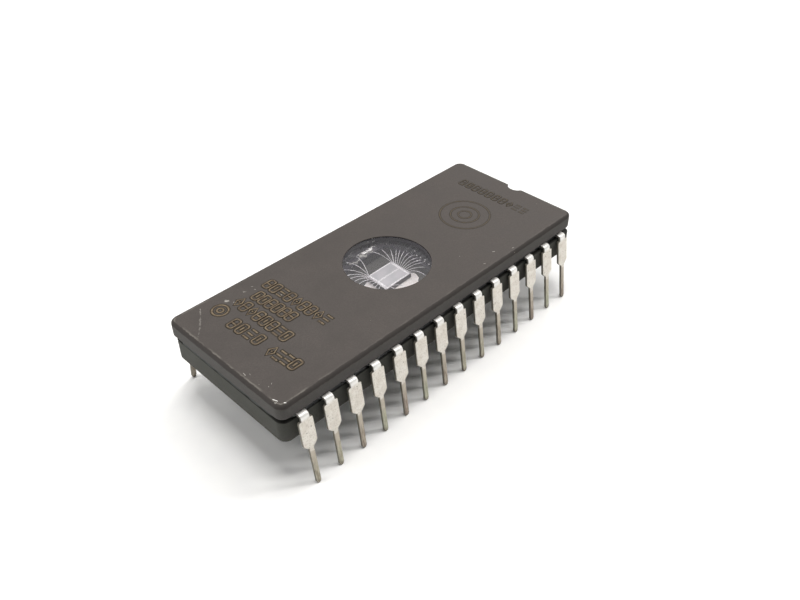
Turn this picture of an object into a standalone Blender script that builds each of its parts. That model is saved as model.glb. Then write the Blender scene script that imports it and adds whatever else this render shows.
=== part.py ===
"""Windowed ceramic dual in-line memory chip with 28 formed leads, modelled at real size.

Origin: on the surface that the lead tips stand on, under the centre of the package.
+X points to the notched end, +Y to the row of leads 1 to 14, +Z up. Units are metres.
"""
import math

import bmesh
import bpy
from mathutils import Matrix, Vector

MM = 0.001

# Ceramic shells: heights count up from the plane of the lead tips
BASE_UNDERSIDE = 4.38 * MM
BASE_THICKNESS = 2.37 * MM
SEAL_THICKNESS = 0.45 * MM
LID_THICKNESS = 1.49 * MM
LID_WIDTH = 14.70 * MM
END_MARGIN = 1.89 * MM
BASE_STEP = 0.10 * MM
BASE_SHIFT = Vector((0.07, -0.07)) * MM
BASE_TURN = math.radians(-0.4)
SEAL_RECESS = 0.22 * MM
SEAL_CORNER_RADIUS = 1.60 * MM
CORNER_RADIUS = 0.80 * MM
LID_TOP_EDGE = 0.30 * MM
LID_LOW_EDGE = 0.18 * MM
BASE_TOP_EDGE = 0.12 * MM
BASE_LOW_EDGE = 0.45 * MM

# Orientation notch in the lid's end, ground slightly off its middle
NOTCH_RADIUS = 0.96 * MM
NOTCH_DEPTH = 0.71 * MM
NOTCH_SHIFT = -0.25 * MM

# Window, die well and the ledge that carries the finger tips
WINDOW_DIAMETER = 8.06 * MM
WINDOW_RIM_DROP = 0.10 * MM
WINDOW_CROWN = 0.08 * MM
LID_RECESS_DEPTH = 0.25 * MM
WELL_LENGTH = 5.90 * MM
WELL_WIDTH = 5.90 * MM
WELL_DEPTH = 0.75 * MM
WELL_CORNER_RADIUS = 0.60 * MM
LEDGE_WIDTH = 1.70 * MM

# Die, its attach layer and the bond wires
DIE_LENGTH = 3.15 * MM
DIE_WIDTH = 2.45 * MM
DIE_THICKNESS = 0.40 * MM
DIE_SHIFT = 0.22 * MM
ATTACH_THICKNESS = 0.04 * MM
ATTACH_CORNER_RADIUS = 0.45 * MM
ATTACH_END_MARGIN = 0.55 * MM
ATTACH_NEAR_MARGIN = 1.05 * MM
ATTACH_FAR_MARGIN = 0.12 * MM
PAD_MARGIN = 0.14 * MM
WIRE_DIAMETER = 0.032 * MM
WIRE_LOOP = 0.34 * MM
WIRE_LANDING = 0.16 * MM
LOOP_FLATNESS = 0.8
WELD_DEPTH = 0.10 * MM

# Leads: stamped from one strip, then bent down outside the ceramic
LEADS_PER_ROW = 14
LEAD_PITCH = 2.54 * MM
LEAD_THICKNESS = 0.25 * MM
LEAD_REACH = 0.38 * MM
SPLAY = math.radians(8.3)
BEND_RADIUS = 0.30 * MM
NECK_WIDTH = 0.85 * MM
SHOULDER_WIDTH = 1.40 * MM
SHOULDER_DROP = 0.52 * MM
SHOULDER_LENGTH = 2.38 * MM
SHOULDER_TAPER = 0.37 * MM
SHOULDER_FOOT_WIDTH = 0.68 * MM
PIN_WIDTH = 0.48 * MM
POINT_WIDTH = 0.32 * MM
POINT_LENGTH = 0.20 * MM
STAMPED_STEP = 0.04 * MM

# Fingers inside the seal, which fan in to the ledge round the die well
TIP_SETBACK = 0.22 * MM
TIP_WIDTH = 0.30 * MM
TIP_STRAIGHT = 0.60 * MM
LANE_WIDTH = 0.38 * MM
LANE_END_SHARE = 0.6
END_LANE_ANGLE = math.radians(11.3)
SIDE_LANE_ANGLE = math.radians(26.6)
SIDE_TIPS = 2
SHARPEST_MITRE = 2.0

FIT_GAP = 0.01 * MM
CUT_OVERRUN = 0.50 * MM
WELD_DISTANCE = 0.0001 * MM
LEVEL_TOLERANCE = 0.01 * MM
SHARP_ANGLE = math.radians(35)
CORNER_SEGMENTS = 6
EDGE_SEGMENTS = 3
WINDOW_SEGMENTS = 64
NOTCH_SEGMENTS = 32
BEND_SEGMENTS = 4
CROWN_SEGMENTS = 4
WIRE_POINTS = 7

# Sizes that follow from the ones above
LID_LENGTH = (LEADS_PER_ROW - 1) * LEAD_PITCH + 2 * END_MARGIN
BASE_TOP = BASE_UNDERSIDE + BASE_THICKNESS
LID_UNDERSIDE = BASE_TOP + SEAL_THICKNESS
LID_TOP = LID_UNDERSIDE + LID_THICKNESS
LEAD_TOP = BASE_TOP + (SEAL_THICKNESS + LEAD_THICKNESS) / 2
LEAD_UNDERSIDE = LEAD_TOP - LEAD_THICKNESS
WELL_FLOOR = BASE_TOP - WELL_DEPTH
ATTACH_LOW = WELL_FLOOR + FIT_GAP
DIE_LOW = ATTACH_LOW + ATTACH_THICKNESS + FIT_GAP
DIE_TOP = DIE_LOW + DIE_THICKNESS
LEDGE_LENGTH_OUT = WELL_LENGTH + 2 * LEDGE_WIDTH
LEDGE_WIDTH_OUT = WELL_WIDTH + 2 * LEDGE_WIDTH
LEDGE_CORNER_RADIUS = WELL_CORNER_RADIUS + LEDGE_WIDTH / 2
QUARTER_LEADS = LEADS_PER_ROW // 2
END_TIPS = QUARTER_LEADS - SIDE_TIPS - 1


def clear_scene():
    for obj in list(bpy.data.objects):
        bpy.data.objects.remove(obj, do_unlink=True)


def make_collection(name):
    collection = bpy.data.collections.new(name)
    bpy.context.scene.collection.children.link(collection)
    return collection


def make_material(name, color, roughness, metallic=0.0, transmission=0.0):
    material = bpy.data.materials.new(name)
    material.use_nodes = True
    material.diffuse_color = (*color, 1.0)
    shader = material.node_tree.nodes["Principled BSDF"]
    shader.inputs["Base Color"].default_value = (*color, 1.0)
    shader.inputs["Roughness"].default_value = roughness
    shader.inputs["Metallic"].default_value = metallic
    shader.inputs["Transmission Weight"].default_value = transmission
    return material


def object_from_bmesh(bm, name, collection, material=None):
    bmesh.ops.recalc_face_normals(bm, faces=bm.faces)
    mesh = bpy.data.meshes.new(name)
    bm.to_mesh(mesh)
    bm.free()
    mesh.shade_smooth()
    mesh.set_sharp_from_angle(angle=SHARP_ANGLE)
    if material:
        mesh.materials.append(material)
    obj = bpy.data.objects.new(name, mesh)
    collection.objects.link(obj)
    return obj


def hide_cutter(obj):
    obj.hide_render = True
    obj.display_type = "WIRE"


def rim_edges(bm, height):
    """The edges that lie in the level plane at this height."""
    return [e for e in bm.edges if all(abs(v.co.z - height) < LEVEL_TOLERANCE for v in e.verts)]


def rounded_block(length, width, low, high, corner, low_edge=0.0, high_edge=0.0,
                  centre=Vector((0, 0)), turn=0.0):
    """A block with round upright corners and, where asked, rounded rims."""
    bm = bmesh.new()
    bmesh.ops.create_cube(bm, size=1.0)
    bmesh.ops.scale(bm, vec=(length, width, high - low), verts=bm.verts)
    bmesh.ops.translate(bm, vec=(0, 0, (low + high) / 2), verts=bm.verts)
    upright = [e for e in bm.edges if abs(e.verts[0].co.z - e.verts[1].co.z) > (high - low) / 2]
    bmesh.ops.bevel(bm, geom=upright, offset=corner, segments=CORNER_SEGMENTS, profile=0.5,
                    affect="EDGES")
    for height, edge in ((low, low_edge), (high, high_edge)):
        if edge > 0:
            bmesh.ops.bevel(bm, geom=rim_edges(bm, height), offset=edge, segments=EDGE_SEGMENTS,
                            profile=0.5, affect="EDGES")
    bmesh.ops.rotate(bm, matrix=Matrix.Rotation(turn, 3, "Z"), verts=bm.verts)
    bmesh.ops.translate(bm, vec=(centre.x, centre.y, 0), verts=bm.verts)
    return bm


def cylinder_bmesh(radius, low, high, segments, centre=Vector((0, 0))):
    bm = bmesh.new()
    bmesh.ops.create_cone(bm, cap_ends=True, segments=segments, radius1=radius, radius2=radius,
                          depth=high - low)
    bmesh.ops.translate(bm, vec=(centre.x, centre.y, (low + high) / 2), verts=bm.verts)
    return bm


def add_boolean(obj, tool, operation="DIFFERENCE"):
    modifier = obj.modifiers.new(operation.lower() + "_" + tool.name, "BOOLEAN")
    modifier.operation = operation
    modifier.solver = "EXACT"
    modifier.object = tool


def cut_block(obj, name, cutters, length, width, low, high, corner, centre=Vector((0, 0)),
              turn=0.0):
    bm = rounded_block(length, width, low, high, corner, centre=centre, turn=turn)
    tool = object_from_bmesh(bm, name, cutters)
    hide_cutter(tool)
    add_boolean(obj, tool)


def make_base(parts, cutters, material):
    """The base is a little smaller than the lid and was sealed slightly off centre and askew."""
    bm = rounded_block(LID_LENGTH - 2 * BASE_STEP, LID_WIDTH - 2 * BASE_STEP, BASE_UNDERSIDE,
                       BASE_TOP, CORNER_RADIUS, BASE_LOW_EDGE, BASE_TOP_EDGE, BASE_SHIFT,
                       BASE_TURN)
    base = object_from_bmesh(bm, "ceramic_base", parts, material)
    cut_block(base, "well_cutter", cutters, WELL_LENGTH, WELL_WIDTH, WELL_FLOOR,
              BASE_TOP + CUT_OVERRUN, WELL_CORNER_RADIUS, BASE_SHIFT, BASE_TURN)
    return base


def make_lid(parts, cutters, material):
    bm = rounded_block(LID_LENGTH, LID_WIDTH, LID_UNDERSIDE, LID_TOP, CORNER_RADIUS,
                       LID_LOW_EDGE, LID_TOP_EDGE)
    lid = object_from_bmesh(bm, "ceramic_lid", parts, material)
    low = LID_UNDERSIDE - CUT_OVERRUN
    high = LID_TOP + CUT_OVERRUN
    hole = object_from_bmesh(cylinder_bmesh(WINDOW_DIAMETER / 2, low, high, WINDOW_SEGMENTS),
                             "window_cutter", cutters)
    place = Vector((LID_LENGTH / 2 + NOTCH_RADIUS - NOTCH_DEPTH, NOTCH_SHIFT))
    notch = object_from_bmesh(cylinder_bmesh(NOTCH_RADIUS, low, high, NOTCH_SEGMENTS, place),
                              "notch_cutter", cutters)
    for tool in (hole, notch):
        hide_cutter(tool)
        add_boolean(lid, tool)
    cut_block(lid, "lid_recess_cutter", cutters, LEDGE_LENGTH_OUT, LEDGE_WIDTH_OUT, low,
              LID_UNDERSIDE + LID_RECESS_DEPTH, LEDGE_CORNER_RADIUS)
    return lid


def make_window(parts, material):
    """A turned disc, slightly crowned on top, which fills the lid's hole."""
    radius = WINDOW_DIAMETER / 2 - FIT_GAP
    low = LID_UNDERSIDE + LID_RECESS_DEPTH
    rim = LID_TOP - WINDOW_RIM_DROP
    bm = bmesh.new()
    profile = []
    for step in range(CROWN_SEGMENTS + 1):
        share = step / CROWN_SEGMENTS
        profile.append((radius * share, rim + WINDOW_CROWN * (1 - share ** 2)))
    profile.append((radius, low))
    profile.append((0.0, low))
    verts = [bm.verts.new((x, 0, z)) for x, z in profile]
    for first, second in zip(verts, verts[1:]):
        bm.edges.new((first, second))
    mesh = bpy.data.meshes.new("window_glass")
    bm.to_mesh(mesh)
    bm.free()
    mesh.materials.append(material)
    window = bpy.data.objects.new("window_glass", mesh)
    parts.objects.link(window)
    screw = window.modifiers.new("turned", "SCREW")
    screw.steps = WINDOW_SEGMENTS
    screw.render_steps = WINDOW_SEGMENTS
    screw.use_merge_vertices = True
    screw.merge_threshold = WELD_DISTANCE
    screw.use_smooth_shade = True
    return window


def finger_tip(index):
    """The tip of a finger in the +X, +Y quarter, and the way it points to get out."""
    straight_x = WELL_LENGTH / 2 - WELL_CORNER_RADIUS
    straight_y = WELL_WIDTH / 2 - WELL_CORNER_RADIUS
    if index < SIDE_TIPS:
        x = straight_x * (index + 0.5) / SIDE_TIPS
        return Vector((x, WELL_WIDTH / 2 + TIP_SETBACK)), Vector((0, 1))
    if index == SIDE_TIPS:
        diagonal = Vector((1, 1)).normalized()
        centre = Vector((straight_x, straight_y))
        return centre + diagonal * (WELL_CORNER_RADIUS + TIP_SETBACK), diagonal
    place = QUARTER_LEADS - 1 - index
    y = straight_y * (place + 0.5) / END_TIPS
    return Vector((WELL_LENGTH / 2 + TIP_SETBACK, y)), Vector((1, 0))


def finger_route(index, lead_x):
    """Plan points and widths of a finger from its tip to the package's side, +X, +Y quarter."""
    tip, outward = finger_tip(index)
    start = tip + outward * TIP_STRAIGHT
    lane_angle = SIDE_LANE_ANGLE if index <= SIDE_TIPS else END_LANE_ANGLE
    turn = Vector((lead_x, start.y + math.tan(lane_angle) * abs(lead_x - start.x)))
    side = LID_WIDTH / 2 - SEAL_RECESS
    wide = Vector((lead_x, turn.y + LANE_END_SHARE * (side - turn.y)))
    return [(tip, TIP_WIDTH), (start, TIP_WIDTH), (turn, LANE_WIDTH), (wide, NECK_WIDTH)]


def blade_profile():
    """Reach outwards, height and width of the strip, from the bend to the point."""
    turn = math.pi / 2 - SPLAY
    corner = LID_WIDTH / 2 + LEAD_REACH
    tangent = BEND_RADIUS * math.tan(turn / 2)
    centre = Vector((corner - tangent, LEAD_TOP - BEND_RADIUS))
    rows = []
    for step in range(BEND_SEGMENTS + 1):
        angle = turn * step / BEND_SEGMENTS
        rows.append((centre.x + BEND_RADIUS * math.sin(angle),
                     centre.y + BEND_RADIUS * math.cos(angle), NECK_WIDTH))
    shoulder_top = LEAD_TOP - SHOULDER_DROP
    shoulder_low = shoulder_top - SHOULDER_LENGTH
    foot = shoulder_low - SHOULDER_TAPER
    lowest = LEAD_THICKNESS * math.sin(SPLAY)
    for height, width in ((shoulder_top, NECK_WIDTH),
                          (shoulder_top - STAMPED_STEP, SHOULDER_WIDTH),
                          (shoulder_low, SHOULDER_WIDTH),
                          (foot, SHOULDER_FOOT_WIDTH),
                          (foot - STAMPED_STEP, PIN_WIDTH),
                          (lowest + POINT_LENGTH, PIN_WIDTH),
                          (lowest, POINT_WIDTH)):
        rows.append((corner + (LEAD_TOP - height) * math.tan(SPLAY), height, width))
    return rows


def strip_mesh(rows, name):
    """An open strip through rows of (centre, unit vector to the left, width)."""
    bm = bmesh.new()
    pairs = []
    for centre, left, width in rows:
        pairs.append((bm.verts.new(centre + left * width / 2),
                      bm.verts.new(centre - left * width / 2)))
    for (left_a, right_a), (left_b, right_b) in zip(pairs, pairs[1:]):
        bm.faces.new((right_a, right_b, left_b, left_a))
    mesh = bpy.data.meshes.new(name)
    bm.to_mesh(mesh)
    bm.free()
    return mesh


def lead_rows(lead_x, row_side, grow=0.0):
    """Rows of the formed strip of one lead; grow widens it for the cut in the seal."""
    index = round(abs(lead_x) / LEAD_PITCH - 0.5)
    mirror = Vector((math.copysign(1, lead_x), row_side))
    plan = []
    for point, width in finger_route(index, abs(lead_x)):
        plan.append((Vector((point.x * mirror.x, point.y * mirror.y)), width))
    if grow:
        tip_way = (plan[0][0] - plan[1][0]).normalized()
        plan[0] = (plan[0][0] + tip_way * grow, plan[0][1])
        plan.append((Vector((lead_x, row_side * (LID_WIDTH / 2 + CUT_OVERRUN))), NECK_WIDTH))
    exit_way = Vector((0, row_side))
    rows = []
    for number, (point, width) in enumerate(plan):
        before = (point - plan[number - 1][0]).normalized() if number else None
        after = (plan[number + 1][0] - point).normalized() if number + 1 < len(plan) else exit_way
        before = before or after
        way = (before + after).normalized()
        mitre = min(SHARPEST_MITRE, 1 / way.dot(after))
        left = Vector((-way.y, way.x, 0))
        rows.append((Vector((point.x, point.y, LEAD_TOP + grow)), left, (width + 2 * grow) * mitre))
    if not grow:
        left = Vector((-row_side, 0, 0))
        for reach, height, width in blade_profile():
            rows.append((Vector((lead_x, row_side * reach, height)), left, width))
    return rows


def add_thickness(obj, thickness):
    solidify = obj.modifiers.new("strip_thickness", "SOLIDIFY")
    solidify.thickness = thickness
    solidify.offset = -1
    solidify.use_even_offset = True


def lead_places():
    """Lead number, X and row side: 1 to 14 on +Y from the notch, then back along -Y."""
    end = (LEADS_PER_ROW - 1) * LEAD_PITCH / 2
    for number in range(1, 2 * LEADS_PER_ROW + 1):
        place = number - 1 if number <= LEADS_PER_ROW else 2 * LEADS_PER_ROW - number
        side = 1 if number <= LEADS_PER_ROW else -1
        yield number, end - place * LEAD_PITCH, side


def make_leads(parts, material):
    """Each lead has its origin where it leaves the seal, on the lead's top face."""
    leads = []
    for number, lead_x, side in lead_places():
        origin = Vector((lead_x, side * LID_WIDTH / 2, LEAD_TOP))
        formed = lead_rows(lead_x, side)
        rows = [(centre - origin, left, width) for centre, left, width in formed]
        name = f"lead_{number:02d}"
        mesh = strip_mesh(rows, name)
        mesh.materials.append(material)
        lead = bpy.data.objects.new(name, mesh)
        lead.location = origin
        parts.objects.link(lead)
        add_thickness(lead, LEAD_THICKNESS)
        leads.append(lead)
    return leads


def make_seal(parts, cutters, material):
    """Sealing glass: a ring under the lid, a thin layer under the fingers, 28 tunnels."""
    length = LID_LENGTH - 2 * SEAL_RECESS
    width = LID_WIDTH - 2 * SEAL_RECESS
    low = BASE_TOP + FIT_GAP
    high = LID_UNDERSIDE - FIT_GAP
    bm = rounded_block(length, width, low, high, SEAL_CORNER_RADIUS)
    seal = object_from_bmesh(bm, "seal_glass", parts, material)
    cut_block(seal, "seal_well_cutter", cutters, WELL_LENGTH, WELL_WIDTH, low - CUT_OVERRUN,
              high + CUT_OVERRUN, WELL_CORNER_RADIUS)
    cut_block(seal, "seal_ledge_cutter", cutters, LEDGE_LENGTH_OUT, LEDGE_WIDTH_OUT,
              LEAD_UNDERSIDE - FIT_GAP, high + CUT_OVERRUN, LEDGE_CORNER_RADIUS)
    bm = bmesh.new()
    for _, lead_x, side in lead_places():
        bm.from_mesh(strip_mesh(lead_rows(lead_x, side, FIT_GAP), "tunnel"))
    mesh = bpy.data.meshes.new("tunnel_cutter")
    bm.to_mesh(mesh)
    bm.free()
    tunnels = bpy.data.objects.new("tunnel_cutter", mesh)
    cutters.objects.link(tunnels)
    add_thickness(tunnels, LEAD_THICKNESS + 2 * FIT_GAP)
    hide_cutter(tunnels)
    add_boolean(seal, tunnels)
    return seal


def make_attach(parts, material):
    """The attach metal spread further from under the die on its near side."""
    centre = Vector((DIE_SHIFT, (ATTACH_FAR_MARGIN - ATTACH_NEAR_MARGIN) / 2))
    bm = rounded_block(DIE_LENGTH + 2 * ATTACH_END_MARGIN,
                       DIE_WIDTH + ATTACH_FAR_MARGIN + ATTACH_NEAR_MARGIN, ATTACH_LOW,
                       ATTACH_LOW + ATTACH_THICKNESS, ATTACH_CORNER_RADIUS, centre=centre)
    return object_from_bmesh(bm, "die_attach", parts, material)


def wire_points(pad, landing):
    """One bond wire: up off its pad, over in a low loop, down onto the finger."""
    points = [pad - Vector((0, 0, WELD_DEPTH))]
    for step in range(1, WIRE_POINTS):
        share = step / (WIRE_POINTS - 1)
        point = pad.lerp(landing, share)
        point.z += WIRE_LOOP * math.sin(math.pi * share) ** LOOP_FLATNESS
        points.append(point)
    return points


def make_wires(cutters):
    """All bond wires as one curve, turned into a mesh that the die is joined with."""
    curve = bpy.data.curves.new("bond_wires", "CURVE")
    curve.dimensions = "3D"
    curve.bevel_depth = WIRE_DIAMETER / 2
    curve.bevel_resolution = 1
    curve.use_fill_caps = True
    pads_per_end = 2 * QUARTER_LEADS
    pad_pitch = (DIE_WIDTH - 2 * PAD_MARGIN) / (pads_per_end - 1)
    landing_z = LEAD_TOP + WIRE_DIAMETER / 2 + FIT_GAP
    for end in (1, -1):
        pad_x = DIE_SHIFT + end * (DIE_LENGTH / 2 - PAD_MARGIN)
        for place in range(pads_per_end):
            side = 1 if place < QUARTER_LEADS else -1
            index = place if place < QUARTER_LEADS else pads_per_end - 1 - place
            pad_y = DIE_WIDTH / 2 - PAD_MARGIN - place * pad_pitch
            tip, outward = finger_tip(index)
            landing = tip + outward * WIRE_LANDING
            points = wire_points(Vector((pad_x, pad_y, DIE_TOP)),
                                 Vector((end * landing.x, side * landing.y, landing_z)))
            spline = curve.splines.new("POLY")
            spline.points.add(len(points) - 1)
            for slot, point in zip(spline.points, points):
                slot.co = (*point, 1)
    source = bpy.data.objects.new("bond_wires_curve", curve)
    cutters.objects.link(source)
    bpy.context.view_layer.update()
    evaluated = source.evaluated_get(bpy.context.evaluated_depsgraph_get())
    mesh = bpy.data.meshes.new_from_object(evaluated)
    bm = bmesh.new()
    bm.from_mesh(mesh)
    bmesh.ops.remove_doubles(bm, verts=bm.verts, dist=WELD_DISTANCE)
    wires = object_from_bmesh(bm, "bond_wires", cutters)
    wires.matrix_world = source.matrix_world
    bpy.data.objects.remove(source, do_unlink=True)
    hide_cutter(wires)
    return wires


def make_die(parts, cutters, material):
    """The silicon die; the wires that are welded to its pads are one solid with it."""
    bm = bmesh.new()
    bmesh.ops.create_cube(bm, size=1.0)
    bmesh.ops.scale(bm, vec=(DIE_LENGTH, DIE_WIDTH, DIE_THICKNESS), verts=bm.verts)
    bmesh.ops.translate(bm, vec=(DIE_SHIFT, 0, DIE_LOW + DIE_THICKNESS / 2), verts=bm.verts)
    die = object_from_bmesh(bm, "die_with_bond_wires", parts, material)
    add_boolean(die, make_wires(cutters), "UNION")
    return die


def main():
    clear_scene()
    parts = make_collection("windowed_ceramic_chip")
    cutters = make_collection("cutters")
    ceramic = make_material("dark_ceramic", (0.125, 0.115, 0.105), 0.62)
    frit = make_material("sealing_glass", (0.018, 0.018, 0.020), 0.22)
    clear = make_material("window_glass", (0.80, 0.83, 0.84), 0.04, transmission=0.9)
    tinned = make_material("tinned_lead", (0.70, 0.68, 0.62), 0.42, metallic=0.85)
    silicon = make_material("silicon", (0.55, 0.53, 0.60), 0.18, metallic=0.7)
    gold = make_material("attach_metal", (0.62, 0.48, 0.34), 0.40, metallic=0.9)
    pieces = [
        make_base(parts, cutters, ceramic),
        make_lid(parts, cutters, ceramic),
        make_window(parts, clear),
        make_seal(parts, cutters, frit),
        make_attach(parts, gold),
        make_die(parts, cutters, silicon),
        *make_leads(parts, tinned),
    ]
    package = bpy.data.objects.new("package", None)
    package.empty_display_size = LID_WIDTH / 2
    parts.objects.link(package)
    for piece in pieces:
        piece.parent = package
    bpy.context.view_layer.update()


main()
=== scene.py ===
import math
import random

import bmesh
import bpy
from mathutils import Matrix, Vector, noise


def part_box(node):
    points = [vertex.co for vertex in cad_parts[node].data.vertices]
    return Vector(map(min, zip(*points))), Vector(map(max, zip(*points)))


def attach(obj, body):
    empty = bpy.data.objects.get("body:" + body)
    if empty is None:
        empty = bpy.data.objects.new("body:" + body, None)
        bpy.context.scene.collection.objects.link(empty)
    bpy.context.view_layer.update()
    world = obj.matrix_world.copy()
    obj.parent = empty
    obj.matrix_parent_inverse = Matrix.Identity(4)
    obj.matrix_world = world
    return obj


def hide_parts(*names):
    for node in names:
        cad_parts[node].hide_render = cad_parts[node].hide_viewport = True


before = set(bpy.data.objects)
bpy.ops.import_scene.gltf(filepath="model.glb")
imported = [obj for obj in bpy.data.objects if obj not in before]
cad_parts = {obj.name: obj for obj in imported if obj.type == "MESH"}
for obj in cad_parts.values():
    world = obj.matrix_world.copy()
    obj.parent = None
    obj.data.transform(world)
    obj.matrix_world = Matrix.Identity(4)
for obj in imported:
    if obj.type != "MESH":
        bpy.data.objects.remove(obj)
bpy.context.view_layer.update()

# Looks of the windowed ceramic memory chip. Lengths are in metres, and the frame gives the places.
MM = 0.001

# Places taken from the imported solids
LID_LOW, LID_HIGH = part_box("ceramic_lid")
BASE_LOW, BASE_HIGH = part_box("ceramic_base")
SEAL_LOW, SEAL_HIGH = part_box("seal_glass")
WINDOW_LOW, WINDOW_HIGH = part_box("window_glass")
ATTACH_LOW, ATTACH_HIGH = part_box("die_attach")
LID_LENGTH = LID_HIGH.x - LID_LOW.x
LID_WIDTH = LID_HIGH.y - LID_LOW.y
LEAD_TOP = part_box("lead_01")[1].z

# Ceramic shells
CORNER_RADIUS = 0.80 * MM
LID_TOP_EDGE = 0.30 * MM
LID_LOW_EDGE = 0.18 * MM
HOLE_EDGE = 0.05 * MM
NOTCH_EDGE = 0.04 * MM
ON_CURVE = 0.01 * MM
RIM_DIVIDE = 6.0 * MM
BASE_TOP_EDGE = 0.12 * MM
BASE_LOW_EDGE = 0.45 * MM
BASE_STEP = 0.10 * MM
BASE_SHIFT = Vector((0.07, -0.07)) * MM
BASE_TURN = math.radians(-0.4)
SEAL_CORNER_RADIUS = 1.60 * MM
NOTCH_RADIUS = 0.96 * MM
NOTCH_DEPTH = 0.71 * MM
NOTCH_SHIFT = -0.25 * MM
WINDOW_RADIUS = 4.03 * MM
LID_RECESS_DEPTH = 0.25 * MM
LEDGE_WIDTH = 1.70 * MM
WELL_LENGTH = 5.90 * MM
WELL_WIDTH = 5.90 * MM
WELL_CORNER_RADIUS = 0.60 * MM
CUT_OVERRUN = 0.50 * MM
FIT_GAP = 0.01 * MM
PRINT_HEIGHT = 0.012 * MM
PRINT_FOOT = 0.002 * MM

# Chips in the lid's top rim, in millimetres: those at the near corner as distances from its two
# sides and radius, the others as count and largest radius for the -X, long and +X sides
CHIP_SEED = 11
CORNER_LUMPS = ((0.30, 0.85, 0.10), (0.48, 0.50, 0.07))
CHIP_SMALLEST = 0.04
CHIPS_LEFT = (7, 0.09)
CHIPS_LONG = (9, 0.08)
CHIPS_RIGHT = (4, 0.08)
LUMP_UNEVENNESS = 0.45

# Window glass
LENS_OVERLAP = 0.02 * MM
LENS_CROWN = 0.07 * MM
LENS_SAG = 0.05 * MM

# Sealing glass: the bead in the groove and the ledge round the well. WANDER and SWELL are the
# length and height of waves, and BEAD_CLIMB is the rise at a lead and the length it fades over.
# RIDGE_LENGTH is in millimetres; RIDGE_SHAPE pairs millimetres from the well with shares of the
# ridge's height.
SEAL_OVERLAP = 0.03 * MM
BEAD_SPACING = 0.09 * MM
BEAD_INNER = -1.6 * MM
BEAD_WANDER = (0.9 * MM, 0.05 * MM)
BEAD_HOLLOW = 0.10 * MM
BEAD_PROUD = 0.02 * MM
BEAD_CLIMB = (0.26 * MM, 0.16 * MM)
LEDGE_SPACING = 0.07 * MM
LEDGE_RISE = 0.05 * MM
LEDGE_OVERLAP = 0.9 * MM
LIP_WANDER = (0.45 * MM, 0.03 * MM)
LIP_SWELL = (0.8 * MM, 0.02 * MM)
RIDGE_HEIGHT = 0.24 * MM
RIDGE_LENGTH = 1.7
RIDGE_SHAPE = ((0.26, 0.7), (0.40, 0.95), (0.52, 1.0), (0.66, 0.8), (0.80, 0.25), (0.90, 0.0))

# Leads, as stamped and bent
LEADS_PER_ROW = 14
LEAD_PITCH = 2.54 * MM
LEAD_THICKNESS = 0.25 * MM
LEAD_REACH = 0.38 * MM
SPLAY = math.radians(8.3)
BEND_RADIUS = 0.30 * MM
NECK_WIDTH = 0.85 * MM
SHOULDER_WIDTH = 1.40 * MM
SHOULDER_DROP = 0.52 * MM
SHOULDER_LENGTH = 2.38 * MM
SHOULDER_TAPER = 0.37 * MM
SHOULDER_FOOT_WIDTH = 0.68 * MM
PIN_WIDTH = 0.48 * MM
POINT_WIDTH = 0.26 * MM
POINT_LENGTH = 0.20 * MM
STAMPED_STEP = 0.04 * MM
SOLDER_CROWN = 0.035 * MM
UNDERSIDE_CROWN = 0.4
SOLDER_FADE = 0.40 * MM
LEAD_EDGE = 0.055 * MM
STRIP_SPACING = 0.13 * MM
TIN_LUMPS = (0.42 * MM, 0.010)  # Length of the waves, and their height in millimetres
TIN_RIPPLE = (0.17 * MM, 0.004)
BLADE_ROUNDING = (0.0, 0.07, 0.12, 0.22, 0.05, 0.04, 0.10, 0.0)  # Millimetres, corner by corner
TIP_SETBACK = 0.22 * MM
TIP_WIDTH = 0.30 * MM
TIP_STRAIGHT = 0.60 * MM
TIP_SHAPE = ((0.0, 0.6), (0.05, 0.9), (0.12, 1.0))  # Millimetres from the tip, share of the width
LANE_WIDTH = 0.38 * MM
LANE_END_SHARE = 0.6
END_LANE_ANGLE = math.radians(11.3)
SIDE_LANE_ANGLE = math.radians(26.6)
SIDE_TIPS = 2
SEAL_RECESS = 0.22 * MM

# Die and bond wires
DIE_LENGTH = 3.15 * MM
DIE_WIDTH = 2.45 * MM
DIE_THICKNESS = 0.40 * MM
DIE_SHIFT = 0.22 * MM
DIE_EDGE = 0.012 * MM
METAL_LAYER = 0.006 * MM
PAD_MARGIN = 0.14 * MM
PAD_SIZE = 0.11 * MM
WIRE_DIAMETER = 0.042 * MM
WIRE_LOOP = 0.34 * MM
WIRE_LANDING = 0.16 * MM
LOOP_FLATNESS = 0.8
QUARTER_LEADS = LEADS_PER_ROW // 2
END_TIPS = QUARTER_LEADS - SIDE_TIPS - 1
DIE_LOW = ATTACH_HIGH.z + FIT_GAP
DIE_TOP = DIE_LOW + DIE_THICKNESS

# Camera, fitted to the photograph
FOCAL_PIXELS = 811.39
FRAME_WIDTH_PIXELS = 800
SENSOR_WIDTH = 36.0
CAMERA_AZIMUTH = math.radians(-45.5768)
CAMERA_ELEVATION = math.radians(38.9569)
CAMERA_ROLL = math.radians(-0.1976)
CAMERA_DISTANCE = 76.7203 * MM
CAMERA_TARGET = Vector((1.168, -0.4788, 3.8)) * MM


# Node helpers

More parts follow.
